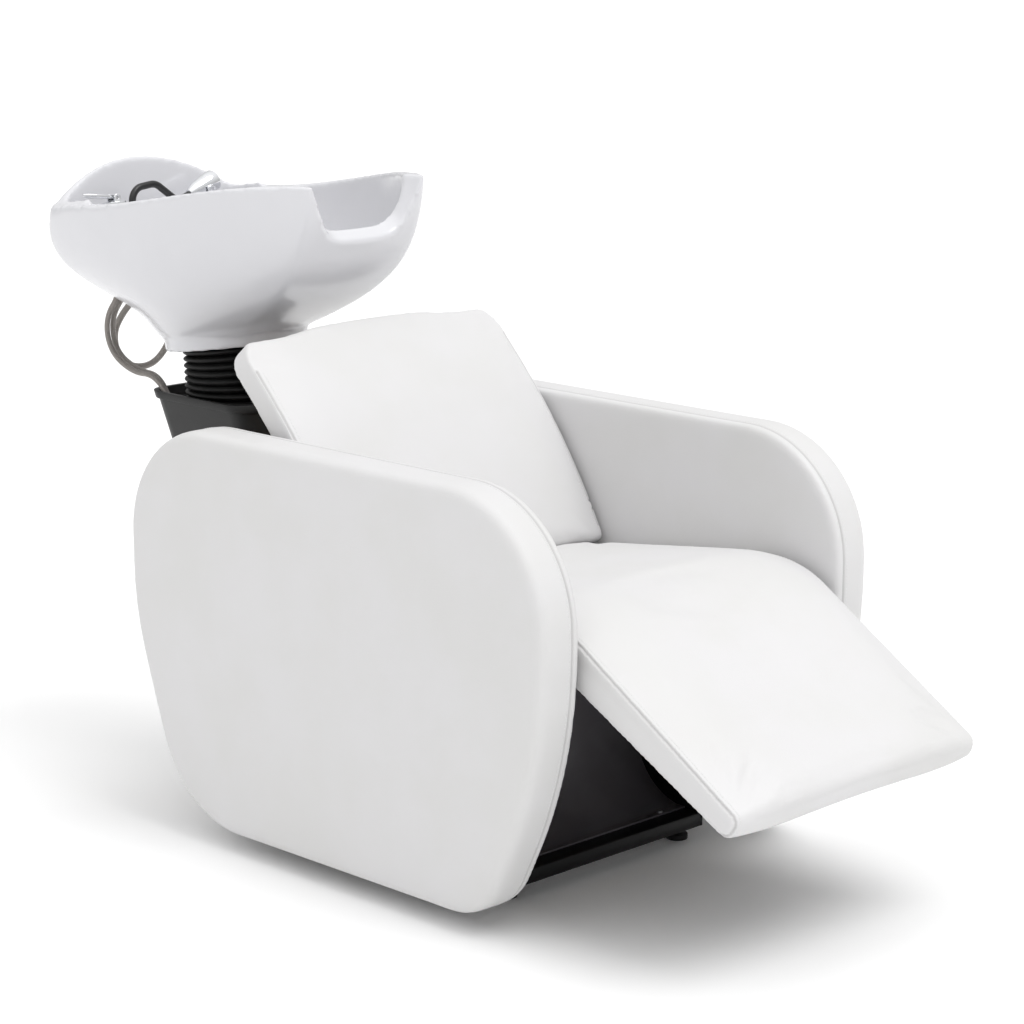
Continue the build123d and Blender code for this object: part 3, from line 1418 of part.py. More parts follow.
with BuildPart() as lever_pin:
    with BuildSketch(mixer_side_plane.offset(-ear_offset - ear_thickness)):
        Circle(lever_pin_radius)
    extrude(amount=2 * (ear_offset + ear_thickness))
write(lever_pin.part, "lever_pin")

# Leaf-shaped lever: pointed outline, rising a little towards its tip
with BuildPart() as mixer_lever:
    with BuildSketch(mixer_side_plane.offset(-lever_half_width)):
        Circle(lever_barrel)
    extrude(amount=2 * lever_half_width)
    with BuildSketch(deck_plane(mixer_u, ear_w - lever_thickness / 2).rotated((0, lever_rise, 0))):
        with BuildLine():
            tip = (-lever_reach, 0)
            waist = -lever_waist
            Line((0, -lever_half_width), (0, lever_half_width))
            Line((0, lever_half_width), (waist, lever_half_width))
            ThreePointArc((waist, lever_half_width),
                          (-lever_reach / 2, lever_leaf_half_width), tip)
            ThreePointArc(tip, (-lever_reach / 2, -lever_leaf_half_width),
                          (waist, -lever_half_width))
            Line((waist, -lever_half_width), (0, -lever_half_width))
        make_face()
    extrude(amount=lever_thickness)
    with BuildSketch(mixer_side_plane.offset(-lever_half_width - overrun)):
        Circle(lever_pin_radius + tee_gap)
    extrude(amount=2 * (lever_half_width + overrun), mode=Mode.SUBTRACT)
write(mixer_lever.part, "mixer_lever")

# Tee on the mixer's tail, with a branch to the shower hose
tee_w = deck_w - deck_thickness - mixer_nut_height - overrun - tee_height
with BuildPart() as outlet_tee:
    with BuildSketch(deck_plane(mixer_u, tee_w)):
        Circle(tee_radius)
    extrude(amount=tee_height)
    branch_place = (mixer_u, *basin_point(tee_branch_v, tee_w + tee_height / 2))
    with BuildSketch(Plane(origin=branch_place, z_dir=(1, 0, 0))):
        Circle(tee_branch_radius)
    extrude(amount=tee_branch_u - mixer_u)
    outlet_place = (tee_branch_u, *basin_point(tee_branch_v, tee_outlet_w))
    with BuildSketch(basin_plane.offset(tee_outlet_w).shift_origin(outlet_place)):
        Circle(tee_outlet_radius)
    extrude(amount=tee_w + tee_height / 2 + tee_outlet_radius - tee_outlet_w)
    with BuildSketch(deck_plane(mixer_u, tee_w - overrun)):
        Circle(mixer_tail_radius + tee_gap)
    extrude(amount=tee_height + 2 * overrun, mode=Mode.SUBTRACT)
write(outlet_tee.part, "outlet_tee")

with BuildPart() as hose_grommet:
    with BuildSketch(deck_plane(grommet_u, deck_w)):
        Circle(grommet_radius)
    extrude(amount=grommet_height)
    with BuildSketch(deck_plane(grommet_u, deck_w - grommet_tail)):
        Circle(grommet_tail_radius)
    extrude(amount=grommet_tail)
    with BuildSketch(deck_plane(grommet_u, deck_w - grommet_tail)):
        Circle(handset_tube_radius + handset_gap)
    extrude(amount=grommet_tail + grommet_height, mode=Mode.SUBTRACT)
write(hose_grommet.part, "hose_grommet")


def deck_point(u, w):
    return (u, *basin_point(tap_v, w))


with BuildPart() as handset_tube:
    with BuildLine() as neck_path:
        FilletPolyline(deck_point(grommet_u, handset_stub_w), deck_point(grommet_u, handset_rise_w),
                       deck_point(handset_crest_u, handset_crest_w),
                       deck_point(handset_dip_u, handset_dip_w),
                       deck_point(handset_neck_u, handset_neck_w), radius=handset_bend_radius)
    with BuildSketch(deck_plane(grommet_u, handset_stub_w)):
        Circle(handset_tube_radius)
    sweep(path=neck_path.line)
write(handset_tube.part, "handset_tube")

neck_end = Vector(*deck_point(handset_neck_u, handset_neck_w))
head_axis = (neck_end - Vector(*deck_point(handset_dip_u, handset_dip_w))).normalized()
head_place = Plane(origin=neck_end, x_dir=(0, tilt_cos, -tilt_sin), z_dir=head_axis)
with BuildPart() as handset_head:
    for start, low, high in ((0, head_neck_radius, head_body_radius),
                             (head_length - head_face_length, head_face_radius, head_face_radius)):
        with BuildSketch(head_place.offset(start)):
            Circle(low)
        with BuildSketch(head_place.offset(start + head_face_length)):
            Circle(high)
        loft()
    with BuildSketch(head_place.offset(head_face_length)):
        Circle(head_body_radius)
    with BuildSketch(head_place.offset(head_length - head_face_length)):
        Circle(head_face_radius)
    loft()
write(handset_head.part, "handset_head")

# Holder under the spray head, open above so that the head lifts out
head_climb = (handset_neck_w - handset_dip_w) / (handset_neck_u - handset_dip_u)
holder_axis_w = handset_neck_w + head_climb * (holder_u - handset_neck_u)
fork_outer = holder_fork_radius + holder_fork_wall
with BuildPart() as shower_holder:
    with BuildSketch(deck_plane(holder_u, deck_w)):
        Circle(holder_base_radius)
    extrude(amount=holder_base_height)
    with BuildSketch(deck_plane(holder_u, deck_w)):
        Circle(holder_radius)
    extrude(amount=holder_axis_w - deck_w - holder_fork_radius - holder_fork_wall * 3 / 4)
    with BuildSketch(head_place.offset((holder_u - handset_neck_u - holder_fork_width / 2))):
        Circle(fork_outer)
        Circle(holder_fork_radius, mode=Mode.SUBTRACT)
        with Locations((0, fork_outer)):
            Rectangle(2 * fork_outer, 2 * fork_outer, mode=Mode.SUBTRACT)
    extrude(amount=holder_fork_width)
write(shower_holder.part, "shower_holder")


# Hoses
def hose(route, radius, name):
    """Tube along straight runs joined by arcs as large as the runs allow."""
    corners = [Vector(*point) for point in route]
    radii = []
    for before, corner, after in zip(corners, corners[1:], corners[2:]):
        turn = math.radians((corner - before).get_angle(after - corner))
        shorter = min((corner - before).length, (after - corner).length)
        radii.append(bend_share * shorter / math.tan(turn / 2))
    with BuildPart() as tube:
        with BuildLine() as path:
            FilletPolyline(*corners, radius=radii)
        with BuildSketch(Plane(origin=corners[0], z_dir=corners[1] - corners[0])):
            Circle(radius)
        sweep(path=path.line)
    length = sum(edge.length for edge in path.edges())
    share = tube.part.volume / (math.pi * radius ** 2 * length)
    print(name, "length", round(length, 1), "volume share", round(share, 4),
          "radii", [round(r, 1) for r in radii])
    return tube.part


write(hose(supply_route_far, supply_hose_radius, "supply_hose_far"), "supply_hose_far")
write(hose(supply_route_near, supply_hose_radius, "supply_hose_near"), "supply_hose_near")
write(hose(shower_route, shower_hose_radius, "shower_hose"), "shower_hose")

union_spots = [Vector(*route[-1]) for route in (supply_route_far, supply_route_near)]
shelf_top = union_spots[0].Z - union_height
with BuildPart() as hose_unions:
    for spot in union_spots:
        with BuildSketch(Plane.XY.offset(shelf_top)):
            with Locations((spot.X, spot.Y)):
                RegularPolygon(union_radius, 6)
        extrude(amount=union_height)
        with BuildSketch(Plane.XY.offset(shelf_top - union_spigot)):
            with Locations((spot.X, spot.Y)):
                Circle(union_spigot_radius)
        extrude(amount=union_spigot)
write(hose_unions.part, "hose_unions")

with BuildPart() as hose_shelf:
    with BuildSketch(Plane.XY.offset(shelf_top - hose_shelf_thickness)):
        with Locations((-(column_width + hose_shelf_width) / 2,
                        (hose_shelf_front + hose_shelf_rear) / 2)):
            Rectangle(hose_shelf_width, hose_shelf_rear - hose_shelf_front)
        for spot in union_spots:
            with Locations((spot.X, spot.Y)):
                Circle(union_spigot_radius + tap_gap, mode=Mode.SUBTRACT)
    extrude(amount=hose_shelf_thickness)
write(hose_shelf.part, "hose_shelf")
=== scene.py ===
"""Looks of the hair washing bed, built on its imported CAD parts. Metres, +Z up, sitter faces -Y."""
import json
import math

import bmesh
import bpy
from mathutils import Matrix, Vector, kdtree
from mathutils.bvhtree import BVHTree


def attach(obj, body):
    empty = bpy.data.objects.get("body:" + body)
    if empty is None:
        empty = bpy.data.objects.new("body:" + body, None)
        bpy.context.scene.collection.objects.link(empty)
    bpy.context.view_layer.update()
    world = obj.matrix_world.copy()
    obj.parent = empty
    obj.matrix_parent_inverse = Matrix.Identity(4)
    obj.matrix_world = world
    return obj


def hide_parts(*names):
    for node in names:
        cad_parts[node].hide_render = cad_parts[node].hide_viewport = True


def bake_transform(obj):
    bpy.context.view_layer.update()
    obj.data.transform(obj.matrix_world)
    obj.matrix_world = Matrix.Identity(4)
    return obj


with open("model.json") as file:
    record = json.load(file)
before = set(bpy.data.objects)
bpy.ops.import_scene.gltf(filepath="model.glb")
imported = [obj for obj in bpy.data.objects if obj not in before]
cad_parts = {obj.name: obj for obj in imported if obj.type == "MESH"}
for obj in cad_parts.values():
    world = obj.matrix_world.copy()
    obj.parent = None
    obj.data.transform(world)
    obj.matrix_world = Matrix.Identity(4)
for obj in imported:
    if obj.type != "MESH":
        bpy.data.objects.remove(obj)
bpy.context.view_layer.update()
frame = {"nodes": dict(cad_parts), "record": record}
nodes = frame["nodes"]
record = frame["record"]
scene = bpy.context.scene
slot_of = {part["node"]: part["material_slot"] for part in record["subparts"]}
body_of = {node: body for body, held in record["behaviour"]["bodies"].items() for node in held}

# Sizes repeated from the CAD source
ARM_INNER_X = 0.276
ARM_SEAM_X = 0.293
ARM_CUT_X = 0.318
ARM_OUTER_X = 0.354
KNEE = Vector((0, -0.455, 0.4775))
SEAT_SLOPE = math.radians(7.2)
LEG_SLOPE = math.radians(32.5)
PIVOT = Vector((0, 0.533, 0.668))
TILT = math.radians(8.0)

# Camera that the photograph was solved for
LENS_MM = 105.01
CAMERA_PLACE = (-3.13204, -3.23672, 1.50777)
CAMERA_LOOK = Vector((0.69025, 0.69025, -0.21712))

# How the padded pieces are made
PRESSURE = 4
CLOTH_FRAMES = 20
BOARD_REACH = 0.025
PINNED_FROM = 0.6
RIM_SWELL = 0.0012
CROWN_SWELL = 0.0038
SEAM_STEP = 0.002
THREAD_OFFSET = 0.0065


def basin_place(u, v, w):
    """A place in the basin's own tilted axes: u to the side, v to the rear, w up."""
    return Vector((u, PIVOT.y + v * math.cos(TILT) + w * math.sin(TILT),
                   PIVOT.z - v * math.sin(TILT) + w * math.cos(TILT)))


# Camera
camera_data = bpy.data.cameras.new("camera")
camera_data.sensor_width = 36
camera_data.lens = LENS_MM
camera_data.clip_end = 200
camera = bpy.data.objects.new("camera", camera_data)
scene.collection.objects.link(camera)
camera.location = CAMERA_PLACE
camera.rotation_mode = "QUATERNION"
camera.rotation_quaternion = CAMERA_LOOK.to_track_quat("-Z", "Y")
scene.camera = camera


# Materials
class Value:
    """An output socket. Python's arithmetic on it adds Math nodes."""

    def __init__(self, finish, socket):
        self.finish = finish
        self.socket = socket

    def maths(self, operation, first, second):
        return self.finish.node("Math", {0: first, 1: second}, operation=operation)

    def __add__(self, other):
        return self.maths("ADD", self, other)

    __radd__ = __add__

    def __sub__(self, other):
        return self.maths("SUBTRACT", self, other)

    def __rsub__(self, other):
        return self.maths("SUBTRACT", other, self)

    def __mul__(self, other):
        return self.maths("MULTIPLY", self, other)

    __rmul__ = __mul__

    def rise(self, low, high):
        """0 below low, 1 above high, and smooth between them."""
        return self.finish.node("MapRange", {"Value": self, "From Min": low, "From Max": high},
                                interpolation_type="SMOOTHSTEP")


class Finish:
    """One material. Its patterns read object coordinates unless told otherwise."""

    def __init__(self, name, colour, roughness, **constants):
        self.material = bpy.data.materials.new(name)
        self.material.use_nodes = True
        self.tree = self.material.node_tree
        self.shader = self.tree.nodes["Principled BSDF"]
        self.shader.inputs["Base Color"].default_value = (*colour, 1)
        self.shader.inputs["Roughness"].default_value = roughness
        for key, value in constants.items():
            self.shader.inputs[key.replace("_", " ")].default_value = value
        self.place = self.node("TexCoord", out="Object")

    def join(self, value, socket):
        if isinstance(value, Value):
            self.tree.links.new(value.socket, socket)
        elif isinstance(value, tuple) and len(value) == 3 and socket.type == "RGBA":
            socket.default_value = (*value, 1)
        else:
            socket.default_value = value

    def node(self, kind, sockets=None, out=0, **settings):
        node = self.tree.nodes.new("ShaderNode" + kind)
        for key, value in settings.items():
            setattr(node, key, value)
        for key, value in (sockets or {}).items():
            self.join(value, node.inputs[key])
        return Value(self, node.outputs[out])

    def feed(self, name, value):
        self.join(value, self.shader.inputs[name])

    def noise(self, scale, detail=2.0, place=None):
        return self.node("TexNoise", {"Vector": place or self.place, "Scale": scale,
                                      "Detail": detail})

    def cells(self, scale):
        return self.node("TexVoronoi", {"Vector": self.place, "Scale": scale}, out="Distance",
                         feature="F1")

    def stretched(self, scale):
        return self.node("Mapping", {"Vector": self.place, "Scale": scale})

    def blend(self, amount, first, second):
        return self.node("Mix", {0: amount, 6: first, 7: second}, out=2, data_type="RGBA")

    def relief(self, height, distance):
        """Bump by a height from 0 to 1 that stands for distance in metres."""
        self.feed("Normal", self.node("Bump", {"Height": height, "Distance": distance},
                                      out="Normal"))


def upholstery():
    """Smooth coated cover with a fine pebble grain, and painted shade darkening it along its seam
    grooves.
    """
    finish = Finish("white_upholstery", (0.70, 0.70, 0.70), 0.5, Sheen_Weight=0.08,
                    Sheen_Roughness=0.4)
    broad = finish.noise(7, 3)
    grain = finish.cells(750)
    fine = finish.noise(2600, 2)
    # Painted shade: the seam attribute blends the cover's colour towards dark grey in the seam
    # grooves.
    seam = finish.node("Attribute", out="Fac", attribute_name="seam")
    tone = finish.blend(broad.rise(0.3, 0.7), (0.675, 0.670, 0.675), (0.658, 0.654, 0.650))
    finish.feed("Base Color", finish.blend(seam * 0.6, tone, (0.40, 0.39, 0.39)))
    finish.feed("Roughness", 0.44 + 0.08 * broad + 0.1 * grain)
    finish.relief(grain * 0.7 + fine * 0.3, 0.00014)
    return finish


def plywood():
    finish = Finish("plywood", (0.6, 0.45, 0.3), 0.6)
    grain = finish.noise(26, 6, finish.stretched((1, 9, 9)))
    layers = finish.node("TexWave", {"Vector": finish.stretched((1, 1, 1)), "Scale": 180.0,
                                     "Distortion": 0.6}, out="Fac", bands_direction="Z")
    finish.feed("Base Color", finish.blend(grain * 0.7 + layers * 0.3, (0.66, 0.50, 0.33),
                                           (0.42, 0.29, 0.17)))
    finish.feed("Roughness", 0.5 + 0.25 * grain)
    finish.relief(grain, 0.0002)
    return finish


def lining():
    """Black woven lining under the leg rest."""
    finish = Finish("black_lining", (0.03, 0.03, 0.03), 0.85, Sheen_Weight=0.2)
    across = finish.node("TexWave", {"Vector": finish.place, "Scale": 260.0}, out="Fac",
                         bands_direction="X")
    along = finish.node("TexWave", {"Vector": finish.place, "Scale": 260.0}, out="Fac",
                        bands_direction="Y")
    weave = across * along
    finish.feed("Base Color", finish.blend(weave, (0.018, 0.018, 0.019), (0.05, 0.05, 0.052)))
    finish.feed("Roughness", 0.75 + 0.15 * weave)
    finish.relief(weave, 0.0002)
    return finish


def powder_coat(name, low, high, roughness, speckle, shine):
    """Baked paint with a slight orange peel and a trace of dust on it."""
    finish = Finish(name, low, roughness, Specular_IOR_Level=shine)
    peel = finish.noise(speckle, 2)
    dust = finish.noise(11, 5)
    finish.feed("Base Color", finish.blend(dust.rise(0.45, 0.75), low, high))
    finish.feed("Roughness", roughness - 0.05 + 0.14 * dust + 0.05 * peel)
    finish.relief(peel, 0.00012)
    return finish


def moulded(name, low, high, roughness, shine):
    """Moulded plastic with a fine spark-eroded texture."""
    finish = Finish(name, low, roughness, Specular_IOR_Level=shine)
    texture = finish.cells(900)
    wear = finish.noise(14, 4)
    finish.feed("Base Color", finish.blend(wear.rise(0.4, 0.8), low, high))
    finish.feed("Roughness", roughness + 0.1 * wear + 0.06 * texture)
    finish.relief(texture, 0.00008)
    return finish


def plated():
    """Zinc plated steel, brushed by its making, with small crystals in the plating."""
    finish = Finish("zinc_plated_steel", (0.62, 0.62, 0.63), 0.35, Metallic=1.0)
    brushed = finish.noise(420, 3, finish.stretched((1, 14, 1)))
    crystals = finish.cells(160)
    finish.feed("Base Color", finish.blend(crystals, (0.68, 0.68, 0.70), (0.50, 0.51, 0.52)))
    finish.feed("Roughness", 0.24 + 0.2 * brushed + 0.1 * crystals)
    finish.relief(brushed, 0.00005)
    return finish


def soft_rubber():
    finish = Finish("black_rubber", (0.006, 0.006, 0.006), 0.5, Specular_IOR_Level=0.25)
    bloom = finish.noise(28, 4)
    skin = finish.noise(900, 2)
    finish.feed("Base Color", finish.blend(bloom.rise(0.5, 0.8), (0.005, 0.005, 0.005),
                                           (0.014, 0.014, 0.014)))
    finish.feed("Roughness", 0.42 + 0.2 * bloom)
    finish.relief(skin, 0.00008)
    return finish


def glaze():
    """White glaze over china: very smooth, with the slow waves of a dipped coat."""
    finish = Finish("white_glaze", (0.68, 0.68, 0.70), 0.24, Coat_Weight=0.3, Coat_Roughness=0.10,
                    IOR=1.5)
    waves = finish.noise(16, 2)
    pits = finish.cells(240)
    finish.feed("Base Color", finish.blend(waves, (0.690, 0.690, 0.715), (0.665, 0.665, 0.690)))
    finish.feed("Roughness", 0.20 + 0.08 * waves)
    finish.relief(waves * 0.94 + pits.rise(0.0, 0.12) * 0.06, 0.0005)
    return finish


def polished(name, bright, dull, roughness):
    """Polished metal with faint water marks."""
    finish = Finish(name, bright, roughness, Metallic=1.0)
    marks = finish.noise(60, 5)
    lines = finish.noise(900, 2)
    finish.feed("Base Color", finish.blend(marks.rise(0.5, 0.8), bright, dull))
    finish.feed("Roughness", roughness + 0.10 * marks.rise(0.45, 0.8))
    finish.relief(lines, 0.00002)
    return finish


def braid():
    """Steel braid over a hose, following the hose's own coordinates."""
    finish = Finish("braided_hose", (0.30, 0.27, 0.25), 0.35, Metallic=0.75)
    along = finish.node("Attribute", out="Fac", attribute_name="along")
    around = finish.node("Attribute", out="Fac", attribute_name="around")
    one = finish.node("Math", {0: (along * 900 + around * 12) * math.pi}, operation="SINE")
    other = finish.node("Math", {0: (along * 900 - around * 12) * math.pi}, operation="SINE")
    weave = one * other * 0.5 + 0.5
    finish.feed("Base Color", finish.blend(weave, (0.16, 0.145, 0.135), (0.44, 0.41, 0.385)))
    finish.feed("Roughness", 0.45 - 0.15 * weave)
    finish.relief(weave, 0.0004)
    return finish


def sewing_thread():
    finish = Finish("white_thread", (0.80, 0.80, 0.80), 0.6, Sheen_Weight=0.3)
    twist = finish.noise(3500, 2, finish.stretched((1, 1, 2)))
    finish.feed("Base Color", finish.blend(twist, (0.84, 0.84, 0.84), (0.66, 0.66, 0.66)))
    finish.relief(twist, 0.0001)
    return finish


finishes = {
    "upholstery": upholstery(),
    "board": plywood(),
    "under_cloth": lining(),
    "black_steel": powder_coat("black_powder_coat", (0.0035, 0.0035, 0.004),
                               (0.008, 0.008, 0.009), 0.42, 700, 0.2),
    "dark_cover": powder_coat("dark_grey_paint", (0.075, 0.070, 0.078), (0.095, 0.089, 0.098),
                              0.34, 500, 0.4),
    "grey_shroud": moulded("dark_grey_plastic", (0.020, 0.020, 0.020), (0.032, 0.032, 0.032),
                           0.38, 0.3),
    "bright_steel": plated(),
    "black_rubber": soft_rubber(),
    "ceramic": glaze(),
    "chrome": polished("chrome", (0.80, 0.81, 0.83), (0.66, 0.67, 0.69), 0.05),
    "brass": polished("brass", (0.72, 0.55, 0.28), (0.50, 0.36, 0.18), 0.22),
    "black_plastic": moulded("black_plastic", (0.008, 0.008, 0.009), (0.018, 0.018, 0.019), 0.22,
                             0.5),
    "hose_braid": braid(),
}
thread = sewing_thread()
for node, slot in slot_of.items():
    mesh = nodes[node].data
    mesh.materials.clear()
    mesh.materials.append(finishes[slot].material)


# Making pieces
def cad_copy(*names):
    """Copy of CAD pieces with their triangles joined."""
    shape = bmesh.new()
    for name in names:
        shape.from_mesh(nodes[name].data)
    bmesh.ops.remove_doubles(shape, verts=shape.verts, dist=0.00001)
    return shape


def put(shape, name, slot, finish=None, sharp=35.0):
    """Object made from a shape, smooth except at its sharp edges."""
    mesh = bpy.data.meshes.new(name)
    shape.to_mesh(mesh)
    shape.free()
    for polygon in mesh.polygons:
        polygon.use_smooth = True
    if sharp:
        mesh.set_sharp_from_angle(angle=math.radians(sharp))
    mesh.materials.append((finish or finishes[slot]).material)
    piece = bpy.data.objects.new(name, mesh)
    scene.collection.objects.link(piece)
    return piece


def baked(piece):
    """Apply a piece's modifiers to its mesh."""
    graph = bpy.context.evaluated_depsgraph_get()
    mesh = bpy.data.meshes.new_from_object(piece.evaluated_get(graph))
    piece.modifiers.clear()
    piece.data = mesh
    for polygon in mesh.polygons:
        polygon.use_smooth = True


def remeshed(piece, size):
    modifier = piece.modifiers.new("Remesh", "REMESH")
    modifier.mode = "VOXEL"
    modifier.voxel_size = size
    baked(piece)


def edit(piece, change):
    """Run a change on a piece's mesh as a bmesh."""
    shape = bmesh.new()
    shape.from_mesh(piece.data)
    change(shape)
    shape.to_mesh(piece.data)
    shape.free()


def smoothed(piece, rounds):
    def smooth(shape):
        for _ in range(rounds):
            bmesh.ops.smooth_vert(shape, verts=shape.verts, factor=0.5, use_axis_x=True,
                                  use_axis_y=True, use_axis_z=True)

    edit(piece, smooth)


def rounded(node, radius):
    """Stand-in for a rigid CAD piece, with its sharp edges rounded."""
    shape = cad_copy(node)
    bmesh.ops.dissolve_limit(shape, angle_limit=math.radians(1.0), verts=shape.verts,
                             edges=shape.edges, use_dissolve_boundaries=False)
    sharp = [edge for edge in shape.edges
             if edge.is_manifold and edge.calc_face_angle(0) > math.radians(30.0)]
    bmesh.ops.bevel(shape, geom=sharp, offset=radius, offset_type="OFFSET", segments=2,
                    profile=0.5, affect="EDGES", clamp_overlap=False, material=-1)
    piece = put(shape, node + "_dressed", slot_of[node])
    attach(piece, body_of[node])
    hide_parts(node)
    return piece


# Padded pieces
def pressed(piece, hold, size):
    """Moves of a piece's points under air pressure, read off a coarser copy of it."""
    coarse = bpy.data.objects.new(piece.name + "_coarse", piece.data.copy())
    scene.collection.objects.link(coarse)
    remeshed(coarse, size)
    smoothed(coarse, 1)
    before = [vertex.co.copy() for vertex in coarse.data.vertices]
    pins = [index for index, place in enumerate(before) if hold(place) > PINNED_FROM]
    group = coarse.vertex_groups.new(name="held")
    group.add(pins, 1.0, "REPLACE")
    cloth = coarse.modifiers.new("Cloth", "CLOTH")
    cloth.settings.use_pressure = True
    cloth.settings.uniform_pressure_force = PRESSURE
    cloth.settings.effector_weights.gravity = 0
    cloth.settings.quality = 4
    cloth.settings.tension_stiffness = 30
    cloth.settings.compression_stiffness = 30
    cloth.settings.bending_stiffness = 4
    if pins:
        cloth.settings.vertex_group_mass = "held"
    cloth.point_cache.frame_start = 1
    cloth.point_cache.frame_end = CLOTH_FRAMES
    for step in range(1, CLOTH_FRAMES + 1):
        scene.frame_set(step)
    graph = bpy.context.evaluated_depsgraph_get()
    after = [vertex.co.copy() for vertex in coarse.evaluated_get(graph).data.vertices]
    scene.frame_set(1)
    mesh = coarse.data
    bpy.data.objects.remove(coarse)
    bpy.data.meshes.remove(mesh)
    tree = line_tree([before])
    moves = []
    for vertex in piece.data.vertices:
        near = [(index, 1 / (distance + 0.001))
                for _, index, distance in tree.find_n(vertex.co, 6)]
        total = sum(weight for _, weight in near)
        moves.append(sum(((after[index] - before[index]) * (weight / total)
                          for index, weight in near), Vector()))
    return moves


def inflate(piece, reach, hold, size):
    """Crown a closed form by air pressure. reach(place) is how far a point may move.

    The pressure works on a copy with cells of the given size.
    """
    moves = pressed(piece, hold, size)
    for vertex, shift in zip(piece.data.vertices, moves):
        limit = reach(vertex.co)
        if shift.length > 1e-9:
            shift *= limit * math.tanh(shift.length / limit) / shift.length
        vertex.co += shift * (1 - hold(vertex.co))


def shrink(piece, distance, hold):
    """Draw a form in before it is inflated."""
    for vertex, normal in [(vertex, vertex.normal.copy()) for vertex in piece.data.vertices]:
        vertex.co -= normal * (distance * (1 - hold(vertex.co)))


def line_tree(lines):
    points = [point for line in lines for point in line]
    tree = kdtree.KDTree(len(points))
    for index, point in enumerate(points):
        tree.insert(point, index)
    tree.balance()
    return tree


def sewn(piece, lines, width, depth):
    """Press a seam into a soft piece along lines, and mark it for painted shade in the cover's
    colour.
    """
    surface = BVHTree.FromObject(piece, bpy.context.evaluated_depsgraph_get())
    tree = line_tree([[surface.find_nearest(point)[0] for point in line] for line in lines])

    def press(shape):
        for reach in (2.2 * width, 1.5 * width):
            near = [edge for edge in shape.edges
                    if all(tree.find(vertex.co)[2] < reach for vertex in edge.verts)]
            bmesh.ops.subdivide_edges(shape, edges=near, cuts=1, use_grid_fill=True, smooth=0.0)
        shape.normal_update()
        # The seam layer holds how much painted shade the cover's colour gets at each point.
        layer = shape.verts.layers.float.get("seam") or shape.verts.layers.float.new("seam")
        for vertex in shape.verts:
            distance = tree.find(vertex.co)[2]
            if distance < width:
                share = (1 - (distance / width) ** 2) ** 2
                vertex[layer] = max(vertex[layer], share)
                vertex.co -= vertex.normal * (depth * share)

    edit(piece, press)


def spaced(line, spacing, closed=False):
    """Points at even spacing along a line of points."""
    line = list(line) + ([line[0]] if closed else [])
    out = [line[0]]
    need = spacing
    for start, end in zip(line, line[1:]):
        run = (end - start).length
        at = need
        while at <= run:
            out.append(start.lerp(end, at / run))
            at += spacing
        need = at - run
    return out


def stitches(name, piece, lines, spacing=0.0055, length=0.0040, radius=0.00045):
    """Row of stitches on a soft piece's surface along lines."""
    tree = BVHTree.FromObject(piece, bpy.context.evaluated_depsgraph_get())
    shape = bmesh.new()
    for line in lines:
        points = spaced(line, spacing)
        for start, end in zip(points, points[1:]):
            place, normal, _, _ = tree.find_nearest((start + end) / 2)
            if place is None:
                continue
            along = (end - start).normalized()
            across = normal.cross(along).normalized()
            turn = Matrix((along, across, normal)).transposed().to_4x4()
            size = Matrix.Diagonal((length / 2, radius, radius, 1))
            bmesh.ops.create_icosphere(shape, subdivisions=1, radius=1,
                                       matrix=Matrix.Translation(place + normal * radius * 0.3)
                                       @ turn @ size)
    return put(shape, name, "upholstery", finish=thread, sharp=0)


def cut_lines(shape, point, normal):
    """Closed lines where a plane cuts a shape, each as a list of points."""
    shape = shape.copy()
    bmesh.ops.bisect_plane(shape, geom=shape.verts[:] + shape.edges[:] + shape.faces[:],
                           plane_co=point, plane_no=normal, clear_inner=True, clear_outer=True)
    todo = set(shape.verts)
    lines = []
    while todo:
        first = todo.pop()
        line = [first]
        grown = True
        while grown:
            grown = False
            for edge in line[-1].link_edges:
                other = edge.other_vert(line[-1])
                if other in todo:
                    todo.remove(other)
                    line.append(other)
                    grown = True
                    break
        lines.append([vertex.co.copy() for vertex in line])
    shape.free()
    return sorted(lines, key=len, reverse=True)


def board_hold(names, distance):
    """How firmly boards hold a place while a cushion swells: 1 against them, 0 at a distance."""
    shape = cad_copy(*names)
    tree = BVHTree.FromBMesh(shape)
    shape.free()

    def hold(place):
        gap = tree.find_nearest(place, distance)[3]
        return 0.0 if gap is None else 1 - (gap / distance) ** 2

    return hold


def free(place):
    """Hold of a pad that nothing stiff touches."""
    return 0.0


def step_down(value, low, high):
    """1 below low, 0 above high, and smooth between them."""
    share = min(max((value - low) / (high - low), 0), 1)
    return 1 - share * share * (3 - 2 * share)


def even_swell(place):
    """Reach of the arm pads, which hardly crown."""
    return RIM_SWELL


def crown_swell(place):
    """Reach of the seat and backrest, most between their two long seams."""
    return RIM_SWELL + CROWN_SWELL * step_down(abs(place.x), 0.195, 0.262)


def padding(piece, cell, rounds, tuck, reach, hold, cloth_cell):
    """Turn a closed form into even cells, smooth it, draw it in and inflate it."""
    remeshed(piece, cell)
    smoothed(piece, rounds)
    shrink(piece, tuck, hold)
    inflate(piece, reach, hold, cloth_cell)


